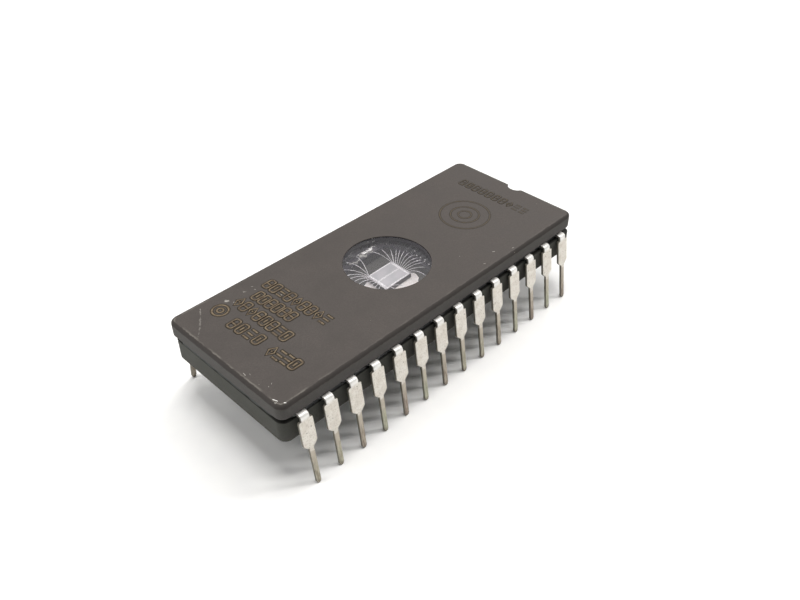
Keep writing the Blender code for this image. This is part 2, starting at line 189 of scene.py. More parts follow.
class Field:
    """What a node puts out, with plain arithmetic, ramps and mixes that add nodes to its tree."""

    def __init__(self, source):
        if isinstance(source, bpy.types.Node):
            source = next(output for output in source.outputs if output.enabled)
        self.output = source
        self.tree = source.id_data

    def __add__(self, other):
        return calc("ADD", self, other)

    def __sub__(self, other):
        return calc("SUBTRACT", self, other)

    def __rsub__(self, other):
        return calc("SUBTRACT", other, self)

    def __mul__(self, other):
        return calc("MULTIPLY", self, other)

    def __truediv__(self, other):
        return calc("DIVIDE", self, other)

    def __rtruediv__(self, other):
        return calc("DIVIDE", other, self)

    def __abs__(self):
        return calc("ABSOLUTE", self)

    def ramp(self, low, high, to_low=0.0, to_high=1.0):
        """A smooth step from low to high."""
        return Field(add(self.tree, "ShaderNodeMapRange", {
            "Value": self, "From Min": low, "From Max": high, "To Min": to_low,
            "To Max": to_high}, interpolation_type="SMOOTHSTEP"))

    def mix(self, first, second, mode="MIX"):
        """Two colours mixed by this share; each is a field or a colour with alpha."""
        return Field(add(self.tree, "ShaderNodeMix", {0: self, 6: first, 7: second},
                         data_type="RGBA", blend_type=mode))


def feed(node, inputs):
    """Sets inputs, by number or name, to plain values, or links them from fields or nodes."""
    for key, value in inputs.items():
        target = node.inputs[key] if isinstance(key, int) else next(
            place for place in node.inputs if place.enabled and place.name == key)
        if isinstance(value, bpy.types.Node):
            value = Field(value)
        if isinstance(value, Field):
            node.id_data.links.new(value.output, target)
        else:
            target.default_value = value


def add(tree, kind, inputs=None, **settings):
    """A new node with its settings and inputs."""
    node = tree.nodes.new(kind)
    for name, value in settings.items():
        setattr(node, name, value)
    feed(node, inputs or {})
    return node


def tree_of(values):
    return next(value.tree for value in values if isinstance(value, Field))


def calc(operation, *values, clamp=False):
    """A Math node on numbers and fields."""
    return Field(add(tree_of(values), "ShaderNodeMath", dict(enumerate(values)),
                     operation=operation, use_clamp=clamp))


def vector(operation, *values, scale=None):
    """A Vector Math node on vectors and fields; it gives a vector or a number."""
    inputs = dict(enumerate(values))
    if scale is not None:
        inputs["Scale"] = scale
    return Field(add(tree_of(values), "ShaderNodeVectorMath", inputs, operation=operation))


def xyz(place):
    """The three numbers of a place."""
    node = add(place.tree, "ShaderNodeSeparateXYZ", {0: place})
    return [Field(output) for output in node.outputs]


def from_axis(x, y):
    """Distance from the part's upright axis."""
    return calc("SQRT", x * x + y * y)


def fuzz(place, scale, detail, roughness=0.5):
    """Soft noise; a larger scale is finer."""
    return Field(add(place.tree, "ShaderNodeTexNoise", {
        "Vector": place, "Scale": scale, "Detail": detail, "Roughness": roughness}))


def bump(height, strength, distance):
    return Field(add(height.tree, "ShaderNodeBump", {
        "Height": height, "Strength": strength, "Distance": distance}))


def color(red, green, blue):
    """A colour from its sRGB numbers, 0 to 255, as linear values with alpha."""
    linear = []
    for part in (red, green, blue):
        share = part / 255
        linear.append(share / 12.92 if share <= 0.04045 else ((share + 0.055) / 1.055) ** 2.4)
    return (*linear, 1.0)


SOCKET_KINDS = {float: "Float", int: "Int", tuple: "Vector"}


def new_group(name, kind, inputs, outputs):
    """A node group; each input gives its default value, or its kind where it has none."""
    group = bpy.data.node_groups.new(name, kind)
    for title, value in inputs.items():
        named = isinstance(value, str)
        item = group.interface.new_socket(title, in_out="INPUT", socket_type="NodeSocket" + (
            value if named else SOCKET_KINDS[type(value)]))
        if not named:
            item.default_value = value
    for title, value in outputs.items():
        group.interface.new_socket(title, in_out="OUTPUT", socket_type="NodeSocket" + value)
    start = group.nodes.new("NodeGroupInput")
    put = {output.name: Field(output) for output in start.outputs}
    return group, put, group.nodes.new("NodeGroupOutput")


def use(group, place, inputs):
    """The outputs of a shader group set in a material."""
    node = add(place.tree, "ShaderNodeGroup", {"Place": place, **inputs}, node_tree=group)
    return [Field(output) for output in node.outputs]


def new_material(name, **constants):
    """A material, its Principled shader and its place in millimetres."""
    material = bpy.data.materials.new(name)
    material.use_nodes = True
    tree = material.node_tree
    shader = tree.nodes["Principled BSDF"]
    feed(shader, {key.replace("_", " "): value for key, value in constants.items()})
    coordinates = add(tree, "ShaderNodeTexCoord")
    place = vector("SCALE", Field(coordinates.outputs["Object"]), scale=1 / MM)
    return material, shader, place


# Shared surface effects; every place in them is in millimetres

def grain_group():
    """Fine sintered grain: pits and soft mottling."""
    group, put, end = new_group(
        "ceramic_grain", "ShaderNodeTree",
        {"Place": "Vector", "Grain Size": 0.12, "Mottle Size": 2.5},
        {"Grain": "Float", "Mottle": "Float", "Height": "Float"})
    scale = 1.0 / put["Grain Size"]
    fine = fuzz(put["Place"], scale, 4.0, 0.65)
    broad = fuzz(put["Place"], 1.0 / put["Mottle Size"], 5.0, 0.6)
    pits = Field(add(group, "ShaderNodeTexVoronoi", {"Vector": put["Place"],
                                                     "Scale": scale * 0.55}))
    feed(end, {"Grain": fine.ramp(0.28, 0.72), "Mottle": broad.ramp(0.30, 0.70),
               "Height": fine * 0.5 + pits.ramp(0.0, 0.32) * 0.5})
    return group


def speck_group():
    """A mask of sparse specks of uneven size."""
    group, put, end = new_group(
        "dust_specks", "ShaderNodeTree",
        {"Place": "Vector", "Spacing": 1.2, "Size": 0.07, "Share": 0.35}, {"Mask": "Float"})
    scale = 1.0 / put["Spacing"]
    cells = add(group, "ShaderNodeTexVoronoi", {"Vector": put["Place"], "Scale": scale})
    reach = put["Size"] * scale * (fuzz(put["Place"], 9.0, 2.0) * 2.0)
    pick = Field(add(group, "ShaderNodeSeparateColor", {0: Field(cells.outputs["Color"])}))
    feed(end, {"Mask": calc("LESS_THAN", Field(cells), reach)
               * calc("LESS_THAN", pick, put["Share"])})
    return group


def edge_group():
    """Along the rim of a rounded rectangle: its rounded edge, and a ragged dusty band inside it."""
    group, put, end = new_group(
        "rim_band", "ShaderNodeTree",
        {"Place": "Vector", "Half Length": 18.4, "Half Width": 7.35, "Corner": 0.8, "Top": 8.69,
         "Edge Width": 0.3, "Band": 0.3},
        {"Edge": "Float", "Dust": "Float"})
    x, y, z = xyz(put["Place"])
    past = [calc("MAXIMUM", abs(part) - (half - put["Corner"]), 0.0)
            for part, half in ((x, put["Half Length"]), (y, put["Half Width"]))]
    inside = put["Corner"] - from_axis(*past)
    depth = put["Top"] - z
    ragged = fuzz(put["Place"], 2.2, 4.0)
    patchy = fuzz(put["Place"], 0.7, 3.0)
    width = put["Edge Width"] * ragged.ramp(0.3, 0.7, 0.85, 1.1)
    near_rim = (inside / width).ramp(1.05, 0.75)
    near_top = (depth / width).ramp(1.25, 0.85)
    share = (inside - put["Edge Width"]) / (put["Band"] * (ragged * 2.0))
    dust = share.ramp(1.0, 0.0) * patchy.ramp(0.4, 0.65) * depth.ramp(0.3, 0.1)
    feed(end, {"Edge": near_rim * near_top, "Dust": dust * (1.0 - near_rim)})
    return group


def stroke_group():
    """A thin straight scratch between two points of the top face, broken up by noise."""
    group, put, end = new_group(
        "scratch", "ShaderNodeTree",
        {"Place": "Vector", "From": "Vector", "To": "Vector", "Width": 0.06}, {"Mask": "Float"})
    along = vector("SUBTRACT", put["To"], put["From"])
    from_start = vector("SUBTRACT", put["Place"], put["From"])
    share = calc("DIVIDE", vector("DOT_PRODUCT", from_start, along),
                 vector("DOT_PRODUCT", along, along), clamp=True)
    away = vector("DISTANCE", from_start, vector("SCALE", along, scale=share))
    width = put["Width"] * fuzz(put["Place"], 3.5, 3.0).ramp(0.35, 0.75, 0.1, 1.6)
    feed(end, {"Mask": (away / width).ramp(1.0, 0.4)})
    return group


GRAIN = grain_group()
SPECKS = speck_group()
RIM = edge_group()
SCRATCH = stroke_group()


def scratches(place, strokes):
    """One mask of strokes given as ((x, y), (x, y), width) on the lid's top."""
    top = LID_HIGH.z / MM
    masks = [use(SCRATCH, place, {"From": (*first, top), "To": (*second, top), "Width": width})[0]
             for first, second, width in strokes]
    total = masks[0]
    for mask in masks[1:]:
        total = calc("MAXIMUM", total, mask)
    return total


# Materials; places and strokes are in millimetres, colours are sRGB numbers from 0 to 255, and
# the pairs given to ramp() say where a smooth step starts and ends

LONG_SCRATCH = (
    ((-15.66, 6.45), (-16.93, 4.69), 0.10), ((-16.93, 4.69), (-17.96, 3.55), 0.08),
)
LID_NICKS = (
    ((-15.66, 6.50), (-15.90, 6.20), 0.06),
    ((-13.60, 5.78), (-13.35, 5.62), 0.20), ((-13.15, 5.20), (-13.05, 5.08), 0.10),
    ((-11.70, 5.72), (-11.55, 5.60), 0.10), ((-10.85, 5.86), (-10.70, 5.78), 0.09),
    ((-10.86, 5.42), (-10.80, 5.30), 0.08), ((-9.85, 3.20), (-9.72, 3.08), 0.08),
    ((5.06, -4.20), (5.20, -4.14), 0.09), ((7.80, -5.86), (8.02, -5.98), 0.10),
    ((9.50, -6.80), (9.72, -6.86), 0.07), ((5.80, -6.48), (5.92, -6.54), 0.06),
    ((17.20, -3.80), (17.30, -3.88), 0.06), ((-17.85, -2.31), (-17.89, -2.60), 0.05),
    ((-17.57, -2.70), (-17.60, -2.84), 0.05), ((-17.75, -3.96), (-17.79, -4.20), 0.05),
    ((-17.37, -4.66), (-17.43, -4.86), 0.04), ((-17.02, -4.71), (-17.10, -4.78), 0.04),
)
CORNER_CHIP = (
    ((-18.04, -6.10), (-17.90, -6.52), 0.06), ((-17.90, -6.52), (-17.80, -6.74), 0.04),
    ((-17.66, -6.98), (-17.58, -7.06), 0.05),
)
SCRATCHED = (206, 202, 194)
LID_MARKS = ((LONG_SCRATCH, 0.15, SCRATCHED), (LID_NICKS, 0.45, SCRATCHED),
             (CORNER_CHIP, 1.0, (238, 236, 232)))
EDGE_SHADE = 0.8
SIDE_LIGHT_TINT = (1.05, 1.12, 1.14, 1.0)
SIDE_DEPTH = (0.30, 0.42)
DUSTY_END = (-16.0, -12.0)
GROOVE_SHADE = (0.12, 0.04)
BASE_RIM_LIFT = 1.0  # The base's rim effect is set this far above its top, so its rim gets no painted shade


def ceramic(name, tone, top, marks=(), groove=None):
    """Dark pressed alumina: mottled and finely pitted, its rounded rim made darker with painted
    shade, and a dusty line.

    The lid has its marks and a cooler, lighter side, a painted tint of the cool light on it; the
    base is darker in the groove at its top, which is painted shade.
    """
    material, shader, place = new_material(name, IOR=1.5, Specular_IOR_Level=0.12)
    light, dark, pitted, shaded_edge = (color(*[part * share for part in tone])
                                 for share in (1.04, 0.96, 0.88, 0.70))
    x, _, z = xyz(place)
    grain, mottle, relief = use(GRAIN, place, {"Grain Size": 0.13, "Mottle Size": 2.6})
    edge, dust = use(RIM, place, {"Half Length": LID_LENGTH / 2 / MM,
                                  "Half Width": LID_WIDTH / 2 / MM, "Top": top, "Band": 0.16})
    specks = use(SPECKS, place, {"Spacing": 2.3, "Size": 0.040, "Share": 0.25})[0]
    look = (grain * 0.6).mix(mottle.mix(dark, light), pitted)
    # Painted shade: the rounded rim of the top is made darker
    look = (edge * EDGE_SHADE).mix(look, shaded_edge)
    look = (dust * x.ramp(*DUSTY_END, 0.42, 0.10)).mix(look, color(140, 136, 128))
    look = (specks * 0.35).mix(look, color(176, 170, 160))
    if marks:
        # Painted light: below the top rim the lid's side is tinted cooler and lighter
        side = z.ramp(top - SIDE_DEPTH[0], top - SIDE_DEPTH[1])
        look = side.mix(look, SIDE_LIGHT_TINT, "MULTIPLY")
    for strokes, share, mark in marks:
        look = (scratches(place, strokes) * share).mix(look, color(*mark))
    if groove:
        shade = z.ramp(groove - GROOVE_SHADE[0], groove - GROOVE_SHADE[1], 0.0, 0.75)
        look = shade.mix(look, color(30, 30, 28))
    feed(shader, {"Base Color": look, "Roughness": mottle.ramp(0.0, 1.0, 0.58, 0.70),
                  "Normal": bump(relief, 0.30, 0.02 * MM)})
    return material


def broken_ceramic():
    """Fresh, light fracture in a chipped edge."""
    material, shader, place = new_material("broken_ceramic", Roughness=0.75)
    crystals = Field(add(place.tree, "ShaderNodeTexVoronoi", {"Vector": place, "Scale": 14.0}))
    tone = crystals.ramp(0.1, 0.7).mix(color(214, 211, 205), color(120, 116, 110))
    feed(shader, {"Base Color": tone, "Normal": bump(crystals, 0.8, 0.03 * MM)})
    return material


PAINTED_GLINT_PLACE = (0.75, 3.45)
PAINTED_GLINT_LENGTH = (1.10, 0.95)
PAINTED_GLINT_WIDTH = (0.17, 0.10)
REFLECTION_OFFSET = (-1.0, 0.34)
REFLECTION_LENGTH = (1.7, 1.3)
REFLECTION_WIDTH = (0.12, 0.03)
OUTER_BEAD = (5.8, 6.2)
SEAL_ENDS = (16.0, 17.0)


def frit_glass():
    """Near-black sealing glass: a glossy, rippled bead outside, duller at the part's two ends.

    Inside it is the ledge round the well, with a white streak that is a painted highlight, and a
    fainter grey painted reflection below it.
    """
    material, shader, place = new_material("black_frit", IOR=1.6, Specular_IOR_Level=0.35)
    x, y, _ = xyz(place)
    ripple = fuzz(place, 1.6, 2.0)
    ragged = fuzz(place, 4.0, 3.0)
    wander = (ragged - 0.5) * 0.9
    waver = wander * 0.6
    line = y - PAINTED_GLINT_PLACE[1] + (ripple - 0.5) * 1.3
    # Painted highlight: a white streak along the ridge on the ledge, bright from any angle
    painted_glint = ((abs(x - PAINTED_GLINT_PLACE[0]) + wander).ramp(*PAINTED_GLINT_LENGTH)
             * (abs(line) + waver).ramp(*PAINTED_GLINT_WIDTH))
    # Painted reflection: a fainter grey streak below the highlight on the ledge
    painted_reflection = ((abs(x - (PAINTED_GLINT_PLACE[0] + REFLECTION_OFFSET[0])) + wander).ramp(*REFLECTION_LENGTH)
            * (abs(line + REFLECTION_OFFSET[1]) + waver).ramp(*REFLECTION_WIDTH))
    outside = abs(y).ramp(*OUTER_BEAD)
    inside = 1.0 - outside
    end = abs(x).ramp(*SEAL_ENDS)
    bead = ripple.ramp(0.35, 0.65).mix(color(14, 13, 16), color(28, 30, 32))
    ledge = (painted_reflection * 0.8).mix(color(36, 31, 39), color(160, 158, 150))
    dim = end.mix(inside.mix(bead, ledge), color(76, 78, 76))
    gloss = (ragged.ramp(0.50, 0.62, 0.48, 0.14) * outside
             + inside * end.ramp(0.0, 1.0, 0.34, 0.85))
    feed(shader, {"Base Color": painted_glint.mix(dim, color(255, 253, 250)), "Metallic": painted_glint * 0.25,
                  "Roughness": gloss, "Normal": bump(ripple * outside, 0.15, 0.05 * MM)})
    return material


def window_lens():
    """Clear glass that bends what is seen through it and lets the lamps' light straight in."""
    material, shader, place = new_material("window_lens", IOR=1.58, Metallic=0.0,
                                           Transmission_Weight=1.0,
                                           Specular_Tint=(1.0, 0.95, 1.0, 1.0),
                                           Base_Color=color(255, 253, 255))
    wave = fuzz(place, 0.8, 1.0)
    feed(shader, {"Roughness": wave.ramp(0.3, 0.7, 0.0, 0.015),
                  "Normal": bump(wave, 0.10, 0.03 * MM)})
    clear = add(place.tree, "ShaderNodeBsdfTransparent", {"Color": color(254, 254, 255)})
    rays = add(place.tree, "ShaderNodeLightPath").outputs
    shadow, diffuse, glossy, bent = (Field(rays[f"Is {kind} Ray"]) for kind in (
        "Shadow", "Diffuse", "Glossy", "Transmission"))
    straight = calc("MAXIMUM", shadow, calc("MAXIMUM", diffuse, glossy - bent))
    passed = add(place.tree, "ShaderNodeMixShader", {0: straight, 1: shader, 2: clear})
    feed(place.tree.nodes["Material Output"], {"Surface": passed})
    return material


TIN_LEVEL = (3.35, 3.65)
PIN_LEVEL = (1.2, 3.4)
BEND_HIGHLIGHT_LEVEL = (6.45, 6.80)
POINT_LEVEL = (0.10, 0.55)
SEALED_REACH = (5.8, 5.0)
GLINT_DOT_SIDE = (2.4, 2.6)
GLINT_DOT_REACH = (4.1, 3.9)


def lead_finish():
    """Solder-dipped tin: off-white shoulder with a painted highlight on the bend, sides made dark
    with painted shade, streaked olive or brown pin.

    The fingers inside the seal are made dark with painted shade, with painted highlights as light
    dots at the well's +X side.
    """
    material, shader, place = new_material("tarnished_tin", IOR=2.0)
    x, y, z = xyz(place)
    stamped, tarnish = (Field(add(place.tree, "ShaderNodeAttribute",
                                  attribute_name=name).outputs["Fac"])
                        for name in ("stamped", "tarnish"))
    patches = fuzz(place, 1.4, 4.0, 0.55)
    grain = fuzz(place, 7.0, 3.0, 0.6)
    streaks = fuzz(vector("MULTIPLY", place, (7.0, 7.0, 0.9)), 1.0, 3.0)
    pits = use(SPECKS, place, {"Spacing": 0.42, "Size": 0.055, "Share": 0.55})[0]
    dots = use(SPECKS, place, {"Spacing": 0.26, "Size": 0.055, "Share": 0.75})[0]
    level = z + (patches - 0.5)
    reach = from_axis(x, y)
    sealed = reach.ramp(*SEALED_REACH)
    tin = patches.ramp(0.35, 0.65).mix(color(236, 231, 221), color(224, 217, 205))
    tin = (grain.ramp(0.48, 0.66) * 0.40).mix(tin, color(186, 176, 160))
    tin = (pits * 0.6).mix(tin, color(112, 104, 88))
    # Painted highlight: the tin goes near-white toward the top of the bend
    tin = z.ramp(*BEND_HIGHLIGHT_LEVEL).mix(tin, color(253, 251, 247))
    olive = streaks.ramp(0.35, 0.65).mix(color(190, 190, 163), color(154, 152, 126))
    brown = streaks.ramp(0.35, 0.62).mix(color(176, 160, 142), color(120, 100, 80))
    pin = level.ramp(*PIN_LEVEL).mix(tarnish.mix(olive, brown), color(190, 180, 162))
    body = level.ramp(*TIN_LEVEL).mix(pin, tin)
    # Painted shade: the strip's stamped sides are given a dark olive tone
    body = (stamped.ramp(0.3, 0.9) * 0.85).mix(body, color(70, 64, 48))
    body = z.ramp(*POINT_LEVEL, 0.55, 0.0).mix(body, color(88, 74, 58))
    # Painted highlights: white dots on the fingers at the well's +X side
    painted_glints = dots * x.ramp(*GLINT_DOT_SIDE) * reach.ramp(*GLINT_DOT_REACH)
    # Painted shade: the fingers inside the seal take a near-black tone
    finger = painted_glints.mix(color(34, 33, 35), color(255, 252, 252))
    relief = grain * sealed.ramp(0.0, 1.0, 1.0, 0.2)
    feed(shader, {"Base Color": sealed.mix(body, finger),
                  "Metallic": level.ramp(0.6, 3.6, 0.20, 0.32),
                  "Roughness": grain.ramp(0.3, 0.7, 0.36, 0.52),
                  "Normal": bump(relief, 0.25, 0.025 * MM)})
    return material


ARRAY_HALF_LENGTH = (1.28, 1.24)
ARRAY_HALF_WIDTH = (1.10, 1.06)
ARRAY_GAP = (0.05, 0.12)
ROW_SPACING = 0.045
SIDE_SHADE_DEPTH = (0.03, 0.01)


def die_surface():
    """Silicon: two grey arrays of fine rows with light borders, and sawn sides made dark with
    painted shade.
    """
    material, shader, place = new_material("die_silicon", IOR=1.6, Metallic=0.15)
    x, y, z = xyz(place)
    cloud = fuzz(place, 0.9, 3.0)
    grain = fuzz(place, 11.0, 2.0)
    rows = calc("PINGPONG", y, ROW_SPACING).ramp(0.008, 0.030)
    across = abs(y)
    array = (abs(x - DIE_SHIFT / MM).ramp(*ARRAY_HALF_LENGTH) * across.ramp(*ARRAY_HALF_WIDTH)
             * across.ramp(*ARRAY_GAP, 0.35, 1.0))
    field = cloud.ramp(0.3, 0.7).mix(color(168, 170, 171), color(190, 187, 189))
    field = (rows * 0.25).mix(field, color(148, 148, 152))
    border = grain.ramp(0.42, 0.58).mix(color(255, 255, 254), color(198, 194, 194))
    # Painted shade: below its top the die's sawn sides take a dark tone
    top = z.ramp(DIE_TOP / MM - SIDE_SHADE_DEPTH[0], DIE_TOP / MM - SIDE_SHADE_DEPTH[1])
    feed(shader, {"Base Color": top.mix(color(40, 38, 40), array.mix(border, field)),
                  "Roughness": cloud.ramp(0.3, 0.7, 0.30, 0.42),
                  "Normal": bump(rows, 0.15, 0.004 * MM)})
    return material


WIRE_SHADE_REACH = (2.95, 3.35)
WIRE_SHADE_SIDE = (0.0, 0.3)


def bright_metal(name, first, second, roughness, scale, depth, rim_shaded=False):
    """Evaporated or sintered metal: speckled between two tones, with fine relief.

    Where asked, painted shade makes the metal dark toward the rim of the window at the +X side, as
    on the wires.
    """
    material, shader, place = new_material(name, Metallic=0.4, IOR=2.0)
    relief = fuzz(place, scale, 5.0, 0.7)
    tone = relief.ramp(0.35, 0.65).mix(color(*first), color(*second))
    if rim_shaded:
        x, y, _ = xyz(place)
        reach = from_axis(x, y) + y * 0.1
        # Painted shade: toward the window's rim at +X the metal goes near-black
        wire_shade = reach.ramp(*WIRE_SHADE_REACH) * x.ramp(*WIRE_SHADE_SIDE)
        tone = wire_shade.mix(tone, color(34, 33, 35))
    feed(shader, {"Base Color": tone,
                  "Roughness": relief.ramp(0.3, 0.7, roughness, roughness + 0.15),
                  "Normal": bump(relief, 0.6, depth)})
    return material


def ink(name, first, second):
    """Worn print: two tones in fine patches."""
    material, shader, place = new_material(name, Roughness=0.6, Specular_IOR_Level=0.15)
    wear = fuzz(place, 2.6, 5.0, 0.7)
    feed(shader, {"Base Color": wear.ramp(0.4, 0.62).mix(color(*first), color(*second)),
                  "Normal": bump(wear, 0.3, 0.01 * MM)})
    return material


# Mesh helpers

def joined(group, parts):
    """A node that joins what these nodes give, in their order."""
    node = add(group, "GeometryNodeJoinGeometry")
    for part in parts:
        group.links.new(part.outputs[0], node.inputs[0])
    return node


def skin(bm, rings):
    """Faces between each closed ring of verts and the next."""
    for first, second in zip(rings, rings[1:]):
        for corner, vert in enumerate(first):
            after = (corner + 1) % len(first)
            bm.faces.new((vert, second[corner], second[after], first[after]))


def link(obj):
    bpy.context.scene.collection.objects.link(obj)
    return obj


def mesh_from(bm, name):
    bmesh.ops.recalc_face_normals(bm, faces=bm.faces)
    mesh = bpy.data.meshes.new(name)
    bm.to_mesh(mesh)
    bm.free()
    return mesh


def baked(obj):
    """The evaluated mesh of an object, which is then removed."""
    bpy.context.view_layer.update()
    depsgraph = bpy.context.evaluated_depsgraph_get()
    mesh = bpy.data.meshes.new_from_object(obj.evaluated_get(depsgraph), depsgraph=depsgraph)
    bpy.data.objects.remove(obj, do_unlink=True)
    return mesh


def smooth(mesh, angle=40):
    mesh.shade_smooth()
    mesh.set_sharp_from_angle(angle=math.radians(angle))
    return mesh


def weighted(mesh):
    """Smooth shading that keeps the broad flat faces flat."""
    smooth(mesh)
    obj = link(bpy.data.objects.new("shading", mesh))
    modifier = obj.modifiers.new("weights", "WEIGHTED_NORMAL")
    modifier.keep_sharp = True
    modifier.weight = 80
    return baked(obj)


def place_piece(name, mesh, slot, *nodes, materials=()):
    """A finished piece in the shared frame, which rides on the part's one body."""
    mesh.name = name
    for material in materials:
        mesh.materials.append(material)
    obj = link(bpy.data.objects.new(name, mesh))
    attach(obj, "root")
    if nodes:
        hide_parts(*nodes)
    return obj


def rounded_rectangle(length, width, radius, steps, centre=(0.0, 0.0)):
    points = []
    for number, (sx, sy) in enumerate(((1, 1), (-1, 1), (-1, -1), (1, -1))):
        corner = (centre[0] + sx * (length / 2 - radius), centre[1] + sy * (width / 2 - radius))
        for step in range(steps + 1):
            angle = math.pi / 2 * (number + step / steps)
            points.append((corner[0] + radius * math.cos(angle),
                           corner[1] + radius * math.sin(angle)))
    return points


def circle(radius, steps, centre=(0.0, 0.0)):
    return [(centre[0] + radius * math.cos(2 * math.pi * step / steps),
             centre[1] + radius * math.sin(2 * math.pi * step / steps)) for step in range(steps)]


def prism(outline, low, high):
    bm = bmesh.new()
    bottom = [bm.verts.new((x, y, low)) for x, y in outline]
    top = [bm.verts.new((x, y, high)) for x, y in outline]
    count = len(outline)
    for number in range(count):
        after = (number + 1) % count
        bm.faces.new((bottom[number], bottom[after], top[after], top[number]))
    bm.faces.new(top)
    bm.faces.new(bottom[::-1])
    return bm


def carve(mesh, tools):
    """The mesh less each tool mesh."""
    obj = link(bpy.data.objects.new("carved", mesh))
    cutters = []
    for tool in tools:
        cutter = link(bpy.data.objects.new("tool", tool))
        cutters.append(cutter)
        modifier = obj.modifiers.new("cut", "BOOLEAN")
        modifier.operation = "DIFFERENCE"
        modifier.solver = "EXACT"
        modifier.object = cutter
        modifier.material_mode = "TRANSFER"
    result = baked(obj)
    for cutter in cutters:
        bpy.data.objects.remove(cutter, do_unlink=True)
    return result


def round_edges(mesh, chosen, offset, segments):
    """Rounds the edges that chosen(edge) picks."""
    bm = bmesh.new()
    bm.from_mesh(mesh)
    edges = [edge for edge in bm.edges if chosen(edge)]
    bmesh.ops.bevel(bm, geom=edges, offset=offset, segments=segments, profile=0.5, affect="EDGES",
                    clamp_overlap=True)
    bm.to_mesh(mesh)
    bm.free()
    return mesh


def level_rim(height, inside=None, outside=None):
    """Picks the sharp edges in a level plane, inside or outside a radius from the axis."""
    near = 0.002 * MM

    def chosen(edge):
        if any(abs(vert.co.z - height) > near for vert in edge.verts):
            return False
        if len(edge.link_faces) != 2 or edge.calc_face_angle() < math.radians(60):
            return False
        reach = max(vert.co.xy.length for vert in edge.verts)
        return (inside is None or reach < inside) and (outside is None or reach > outside)
    return chosen


def rough_lump(centre, radius, seed):
    """A small faceted lump, used to break an edge."""
    bm = bmesh.new()
    bmesh.ops.create_icosphere(bm, subdivisions=2, radius=radius)
    for vert in bm.verts:
        shift = noise.noise(vert.co.normalized() * 2.3 + Vector((seed, seed, seed)))
        vert.co *= 1 + LUMP_UNEVENNESS * shift
    bmesh.ops.translate(bm, vec=centre, verts=bm.verts)
    return bm


def chip_tools(material):
    """Chips along the lid's top rim, the largest at the near corner."""
    top = LID_HIGH.z
    half_x = LID_LENGTH / 2
    half_y = LID_WIDTH / 2
    spots = [(Vector((-half_x + along * MM, -half_y + across * MM, top)), radius * MM)
             for along, across, radius in CORNER_LUMPS]
    draw = random.Random(CHIP_SEED)

    def chip(x, y, largest):
        spots.append((Vector((x, y, top)), draw.uniform(CHIP_SMALLEST, largest) * MM))

    for _ in range(CHIPS_LEFT[0]):
        chip(-half_x, draw.uniform(-0.6, 0.85) * half_y, CHIPS_LEFT[1])
    for _ in range(CHIPS_LONG[0]):
        side = draw.choice((-1, 1))
        chip(draw.uniform(-0.9, 0.9) * half_x, side * half_y, CHIPS_LONG[1])
    for _ in range(CHIPS_RIGHT[0]):
        chip(half_x, draw.choice((-1, 1)) * draw.uniform(0.2, 0.8) * half_y, CHIPS_RIGHT[1])
    tools = []
    for number, (centre, radius) in enumerate(spots):
        mesh = mesh_from(rough_lump(centre, radius, number * 3.7), "lump")
        mesh.materials.append(material)
        tools.append(mesh)
    return tools


def add_lid(material, fracture, fused):
    """The pressed lid: window hole, notch, underside recess, rounded and chipped rims."""
    top = LID_HIGH.z - PRINT_HEIGHT
    outline = rounded_rectangle(LID_LENGTH, LID_WIDTH, CORNER_RADIUS, 18)
    mesh = mesh_from(prism(outline, LID_LOW.z, top), "lid")
    mesh.materials.append(material)
    round_edges(mesh, level_rim(top), LID_TOP_EDGE, 5)
    round_edges(mesh, level_rim(LID_LOW.z), LID_LOW_EDGE, 4)
    notch_x = LID_LENGTH / 2 + NOTCH_RADIUS - NOTCH_DEPTH
    ledge = rounded_rectangle(WELL_LENGTH + 2 * LEDGE_WIDTH, WELL_WIDTH + 2 * LEDGE_WIDTH,
                              WELL_CORNER_RADIUS + LEDGE_WIDTH / 2, 10)
    low = LID_LOW.z - CUT_OVERRUN
    high = LID_HIGH.z + CUT_OVERRUN
    tools = [mesh_from(prism(circle(WINDOW_RADIUS, 128), low, high), "hole"),
             mesh_from(prism(circle(NOTCH_RADIUS, 72, (notch_x, NOTCH_SHIFT)), low, high), "notch"),
             mesh_from(prism(ledge, low, LID_LOW.z + LID_RECESS_DEPTH), "recess")]
    for tool, finish in zip(tools, (fused, material, material)):
        tool.materials.append(finish)
    mesh = carve(mesh, tools)
    round_edges(mesh, level_rim(top, inside=WINDOW_RADIUS * 1.05), HOLE_EDGE, 3)
    notch_centre = Vector((notch_x, NOTCH_SHIFT))

    def on_notch(edge):
        return edge.calc_face_angle() > math.radians(35) and all(
            abs((vert.co.xy - notch_centre).length - NOTCH_RADIUS) < ON_CURVE
            for vert in edge.verts)

    round_edges(mesh, on_notch, NOTCH_EDGE, 2)
    mesh = carve(mesh, chip_tools(fracture))
    return place_piece("pressed_lid", weighted(mesh), "dark_ceramic", "ceramic_lid")


def turned_with_base(points):
    """Plan points turned and shifted as the base was when it was sealed."""
    spin = Matrix.Rotation(BASE_TURN, 2)
    return [tuple(spin @ Vector(point) + BASE_SHIFT) for point in points]


